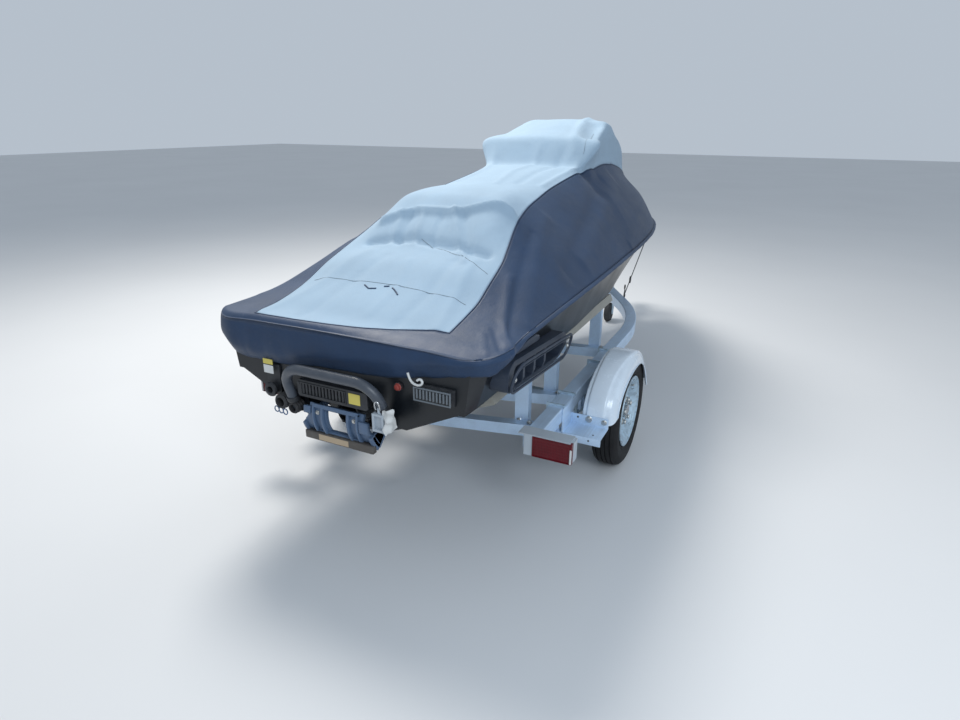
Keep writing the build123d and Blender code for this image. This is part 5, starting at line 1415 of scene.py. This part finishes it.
@dataclass
class Fender:
    """A pressed fender: its section swept along the profile, with a step, a shoulder and a rolled lip."""

    name: str
    side: float
    wall: float = 0.0022
    # Station and height of the crown line, from the bracket over the wheel to the front tip.
    profile: tuple[tuple[float, float], ...] = (
        (-0.385, 0.350), (-0.384, 0.385), (-0.377, 0.420), (-0.358, 0.456), (-0.328, 0.488),
        (-0.285, 0.517), (-0.232, 0.540), (-0.172, 0.556), (-0.108, 0.565), (-0.042, 0.567),
        (0.022, 0.562), (0.080, 0.547), (0.132, 0.522), (0.176, 0.489), (0.212, 0.450),
        (0.244, 0.410), (0.270, 0.368), (0.290, 0.328))
    # Half width and height over the crown line, from the inner edge to the rolled lip.
    section: tuple[tuple[float, float], ...] = (
        (0.664, -0.038), (0.664, -0.018), (0.667, -0.009), (0.673, -0.0085), (0.680, -0.008),
        (0.6835, -0.0072), (0.6865, -0.0004), (0.693, 0.0), (0.715, 0.0008), (0.740, 0.0008),
        (0.756, 0.0), (0.760, -0.001), (0.765, -0.008), (0.777, -0.0105), (0.789, -0.016),
        (0.798, -0.026), (0.8035, -0.040), (0.805, -0.055), (0.8085, -0.0585), (0.8095, -0.0555))
    shoulder_shift: float = 0.026
    step_shift: float = 0.010
    rear_round: float = 0.030
    front_round: float = 0.016

    def sweep(self) -> bpy.types.Object:
        """Extrudes the section from station to station, turning it with the profile."""
        start = Vector((0, *self.profile[0]))
        ahead = Vector((0, *self.profile[1])) - start
        turn = math.atan2(ahead.z, ahead.y)
        mesh = bpy.data.meshes.new("fender")
        mesh.from_pydata([at(self.side * x, start.y - n * math.sin(turn), start.z + n * math.cos(turn))
                          for x, n in self.section], [(i, i + 1) for i in range(len(self.section) - 1)], [])
        piece = adopt("fender", mesh)
        points = [Vector((0, *p)) for p in self.profile]
        with editing():
            for k in range(1, len(points)):
                step = points[k] - points[k - 1]
                bpy.ops.mesh.extrude_region_move(TRANSFORM_OT_translate={"value": step})
                after = points[min(k + 1, len(points) - 1)] - points[k - 1]
                target = math.atan2(after.z, after.y)
                bpy.ops.transform.rotate(value=turn - target, orient_axis="X", center_override=at(*points[k]))
                turn = target
            bpy.ops.mesh.select_all(action="SELECT")
            bpy.ops.mesh.normals_make_consistent(inside=False)
        return piece

    def press(self, piece: bpy.types.Object) -> None:
        """Moves the shoulder out toward the front, curves the inner step and rounds the lower corners."""
        count, last = len(self.section), len(self.profile) - 1
        for index, vertex in enumerate(piece.data.vertices):
            row, column = divmod(index, count)
            share = row / last
            if 9 <= column <= 13:
                reach = self.shoulder_shift * (1 if column < 13 else 0.6)
                vertex.co.x += self.side * reach * ease(share, 0.28, 0.62)
            if 3 <= column <= 7:
                vertex.co.x -= self.side * self.step_shift * ease(share, 0.30, 0.55)
            if row == 0 and column >= 13:
                vertex.co.z += self.rear_round * ((column - 12) / 7) ** 2
            if row == last and column >= 14:
                vertex.co.z += self.front_round * ((column - 13) / 6) ** 2

    def build(self) -> None:
        """Makes the fender, which stands for its CAD node."""
        piece = self.sweep()
        self.press(piece)
        Bench.apply(piece, "SUBSURF", levels=1, render_levels=1)
        Bench.apply(piece, "SOLIDIFY", thickness=self.wall, offset=-1.0)
        Bench.smooth(piece, 50)
        finished(piece, f"fender_skin_{self.name}", "silver_paint")
        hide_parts(f"fender_{self.name}")


@dataclass
class FenderBrackets:
    """Folded plates under the rails that carry the fenders."""

    rear: float = -0.500
    face: float = -0.388
    shelf: float = 0.345
    flap: float = 0.312
    wall_top: float = 0.388
    inner: float = 0.600
    outer: float = 0.785
    gauge: float = 0.004
    # Plates of one side, as the ends across, along and up.
    plates: tuple[tuple[float, ...], ...] = (
        (0.6175, 0.6235, -0.500, -0.362, 0.341, 0.450),
        (0.6175, 0.700, 0.080, 0.262, 0.380, 0.386),
        (0.6175, 0.6235, 0.080, 0.262, 0.380, 0.450),
        (0.694, 0.700, 0.110, 0.232, 0.380, 0.445))

    def build(self) -> None:
        """Makes the rear and front brackets of both sides with their bolts and holes."""
        parts, bolts, holes = [], [], []
        for side in (-1.0, 1.0):
            fold = [(self.rear, self.flap), (self.rear, self.shelf), (self.face, self.shelf),
                    (self.face, self.wall_top)]
            back = [(y + self.gauge, z - drop)
                    for (y, z), drop in zip(fold, (0.0, self.gauge, self.gauge, 0.0))]
            outline = [at(side * self.inner, y, z) for y, z in [*fold, *reversed(back)]]
            parts.append(Bench.prism(outline, Vector((side * (self.outer - self.inner), 0, 0)), 0.0010))
            for x0, x1, y0, y1, z0, z1 in self.plates:
                low, high = sorted((side * x0, side * x1))
                parts.append(Bench.block(at(low, y0, z0), at(high, y1, z1), 0.0012))
            for x, z, size in ((0.700, 0.372, 0.0105), (0.766, 0.370, 0.0085)):
                bolts.append(Bench.scatter(Bench.bolt(size), [(at(side * x, self.face, z), BACK)]))
            for spot, toward, size in (((0.745, -0.470, self.shelf), UP, 0.004),
                                       ((0.735, self.rear, 0.331), BACK, 0.004),
                                       ((0.652, self.face, 0.374), BACK, 0.0045)):
                place = at(side * spot[0], spot[1], spot[2])
                holes.append(Bench.lathe([(0, 0), (0, size), (0.0006, size), (0.0006, 0)], place, toward, 14))
        piece = finished(Bench.join(parts), "fender_plates", "aluminium")
        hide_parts("fender_brackets")
        finished(Bench.join(bolts), "fender_bolts", "steel", finish="zinc")
        finished(Bench.join(holes), "fender_plate_holes", "rubber")


@dataclass
class StrapHardware:
    """Ring and hook at the foot of each bow tie-down."""

    ring_z: float = 0.560
    hook_z: float = 0.452

    def build(self) -> None:
        """Makes the hardware of both sides."""
        strap = frame["nodes"]["tie_straps"].data.vertices
        parts = []
        for side in (-1.0, 1.0):
            line = sorted((v.co for v in strap if v.co.x * side > 0), key=lambda c: c.z)
            foot, head = line[0], line[-1]

            def on(z: float) -> Vector:
                """A place on the strap's line."""
                return foot.lerp(head, (z - foot.z) / (head.z - foot.z))
            low = on(self.hook_z)
            for middle, wide, tall, radius in ((on(self.ring_z), 0.016, 0.022, 0.0034),
                                               (low + UP * 0.056, 0.012, 0.014, 0.003)):
                ring = ellipse(middle, Vector((0, wide, 0)), UP * tall, 12)
                parts.append(Bench.tube(ring, radius, closed=True))
            parts.append(Bench.tube([low + Vector(d) for d in (
                (0, 0, 0.050), (0, 0.008, 0.036), (0, 0, 0.020), (0, -0.010, 0.004), (0, -0.006, -0.016),
                (0, 0.008, -0.024), (0, 0.018, -0.014), (0, 0.018, 0.0))], 0.0036))
        finished(Bench.join(parts), "strap_hooks", "steel", finish="cast")


@dataclass
class LampDress:
    """Rim, rib and side lens of each tail lamp."""

    lip: float = 0.0035
    rib: float = 0.006
    side_lens: float = 0.007

    def build(self) -> None:
        """Makes both lamps' trim."""
        for side, name in ((1.0, "starboard"), (-1.0, "port")):
            low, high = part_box(f"lamp_lens_{name}")
            x0, x1, z0, z1, y = low.x, high.x, low.z, high.z, low.y - AXLE_Y
            rim = SternDress.frame_edge(x0, x1, y + 0.001, z0, z1, 0.004, self.lip)
            inner, outer = (x0, x1) if side > 0 else (x1, x0)
            near, far = sorted((inner, inner + side * self.rib))
            rib = Bench.block(at(near, y - 0.003, z0), at(far, y + 0.001, z1), 0.0008, 1)
            finished(Bench.join([rim, rib]), f"lamp_rim_{name}", "lens")
            near, far = sorted((outer, outer - side * self.side_lens))
            wrap = Bench.block(at(near, y - 0.0055, z0 + 0.003), at(far, y + 0.001, z1 - 0.022), 0.001, 1)
            finished(wrap, f"lamp_side_lens_{name}", "lamp_body", finish="sticker_white")


@dataclass
class TrailerDress:
    """Fasteners, sleeves, caps and bunk holes of the trailer."""

    rail_x: float = 0.585
    rail_end: float = -0.7605
    sleeve: tuple[float, float] = (-0.480, -0.376)
    top: float = 0.450
    low: float = 0.386

    def bolts(self) -> None:
        """Puts bolts on brackets, cross members and bunk brackets."""
        places = []
        for side in (-1, 1):
            for y in (-0.555, -0.215, 0.480):
                for dx in (-0.022, 0.022):
                    places.append((at(side * (self.rail_x - 0.066 + dx), y, 0.387), UP))
            for y in (-0.530, 0.539):
                out = BACK if y < 0 else -BACK
                places += [(at(side * 0.440, y, z) + out * 0.001, out) for z in (0.350, 0.372)]
        finished(Bench.scatter(Bench.bolt(0.0085), places), "trailer_bolts", "steel", finish="zinc")

    def sleeves(self) -> None:
        """Puts a sleeve between the rear clamps and a cap on the end of each rail."""
        for side, name in ((1, "starboard"), (-1, "port")):
            middle, face = side * self.rail_x, side * (self.rail_x + 0.032)
            start, stop = self.sleeve
            sleeve = Bench.block(at(middle - 0.0335, start, self.top - 0.002),
                                 at(middle + 0.0335, stop, self.top + 0.0015), 0.001, 1)
            side_plate = Bench.block(at(face - 0.0015, start, self.low),
                                     at(face + 0.0015, stop, self.top), 0.0006, 1)
            cap = Bench.block(at(middle - 0.029, self.rail_end - 0.001, self.low + 0.003),
                              at(middle + 0.029, self.rail_end + 0.001, self.top - 0.003), 0.0005, 1)
            finished(Bench.join([sleeve, side_plate]), f"rail_sleeve_{name}", "aluminium")
            finished(cap, f"rail_cap_{name}", "rubber")

    def bunks(self) -> None:
        """Puts a ring round the bolt hole in each bunk's rear end."""
        for side, name in ((1, "starboard"), (-1, "port")):
            low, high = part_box(f"bunk_{name}")
            middle = Vector(((low.x + high.x) / 2, low.y, (low.z + high.z) / 2))
            ring = [(0, 0.004), (0, 0.008), (0.002, 0.009), (0.003, 0.004), (0, 0.004)]
            hole = Bench.lathe(ring, middle, BACK, 16)
            finished(hole, f"bunk_hole_{name}", "rubber")

    def build(self) -> None:
        """Makes all of the trailer's dress."""
        self.bolts()
        self.sleeves()
        self.bunks()


# Setting


@dataclass
class Studio:
    """Floor, light and camera."""

    focal: float = 23.625
    spot: Point = (1.35, -2.745, 1.555)
    turn: float = 26.3
    dip: float = 20.9
    roll: float = 0.3
    sky: float = 0.60
    aim: Point = (0, 0, 0.6)

    def floor(self) -> None:
        """Lays a plain pale floor."""
        deselect()
        bpy.ops.mesh.primitive_plane_add(size=60, location=(0, 0, -0.001))
        floor = bpy.context.object
        floor.name = "floor"
        shader = Shader("floor", {"Roughness": 0.9})
        tone = shader.noise(shader.place(), 0.6, 3)
        shader.feed(Base_Color=shader.blend(tone, (0.60, 0.61, 0.62, 1), (0.66, 0.67, 0.68, 1)))
        floor.data.materials.append(shader.material)

    def lights(self) -> None:
        """Sets a pale world and two large soft lamps."""
        world = bpy.data.worlds.new("studio")
        world.use_nodes = True
        background = world.node_tree.nodes["Background"]
        background.inputs["Color"].default_value = (0.78, 0.88, 1.0, 1)
        background.inputs["Strength"].default_value = self.sky
        bpy.context.scene.world = world
        for name, spot, size, power, colour in (
                ("key", (-2.3, 1.3, 4.9), 1.7, 290, (1.0, 0.96, 0.90)),
                ("fill", (3.3, -3.2, 3.0), 1.8, 85, (0.84, 0.92, 1.0))):
            lamp = bpy.data.lights.new(name, "AREA")
            lamp.size, lamp.energy, lamp.color = size, power, colour
            item = bpy.data.objects.new(name, lamp)
            item.location = at(*spot)
            item.rotation_euler = (at(*self.aim) - item.location).to_track_quat("-Z", "Y").to_euler()
            bpy.context.collection.objects.link(item)

    def camera(self) -> None:
        """Sets the photograph's view."""
        a, p, r = (math.radians(v) for v in (self.turn, self.dip, self.roll))
        ahead = Vector((-math.sin(a) * math.cos(p), math.cos(a) * math.cos(p), -math.sin(p)))
        right = Vector((math.cos(a), math.sin(a), 0))
        up = right.cross(ahead)
        side = right * math.cos(r) + up * math.sin(r)
        top = up * math.cos(r) - right * math.sin(r)
        data = bpy.data.cameras.new("camera")
        data.lens, data.sensor_width = self.focal, 36.0
        item = bpy.data.objects.new("camera", data)
        turn = Matrix((side, top, -ahead)).transposed().to_4x4()
        item.matrix_world = Matrix.Translation(at(*self.spot)) @ turn
        bpy.context.collection.objects.link(item)
        bpy.context.scene.camera = item

    def build(self) -> None:
        """Sets up the whole studio."""
        bpy.context.scene.view_settings.view_transform = "Standard"
        self.floor()
        self.lights()
        self.camera()


def main() -> None:
    """Builds and dresses everything."""
    logging.basicConfig(level=logging.INFO, format="%(message)s")
    Studio().build()
    PALETTE.dress_nodes()
    StorageCover().build()
    SternDress().build()
    GateDress().build()
    SponsonDress().build()
    for name, side in (("starboard", 1.0), ("port", -1.0)):
        RunningGear(name, side).build()
        Fender(name, side).build()
    FenderBrackets().build()
    LampDress().build()
    StrapHardware().build()
    TrailerDress().build()


if __name__ == "__main__":
    main()
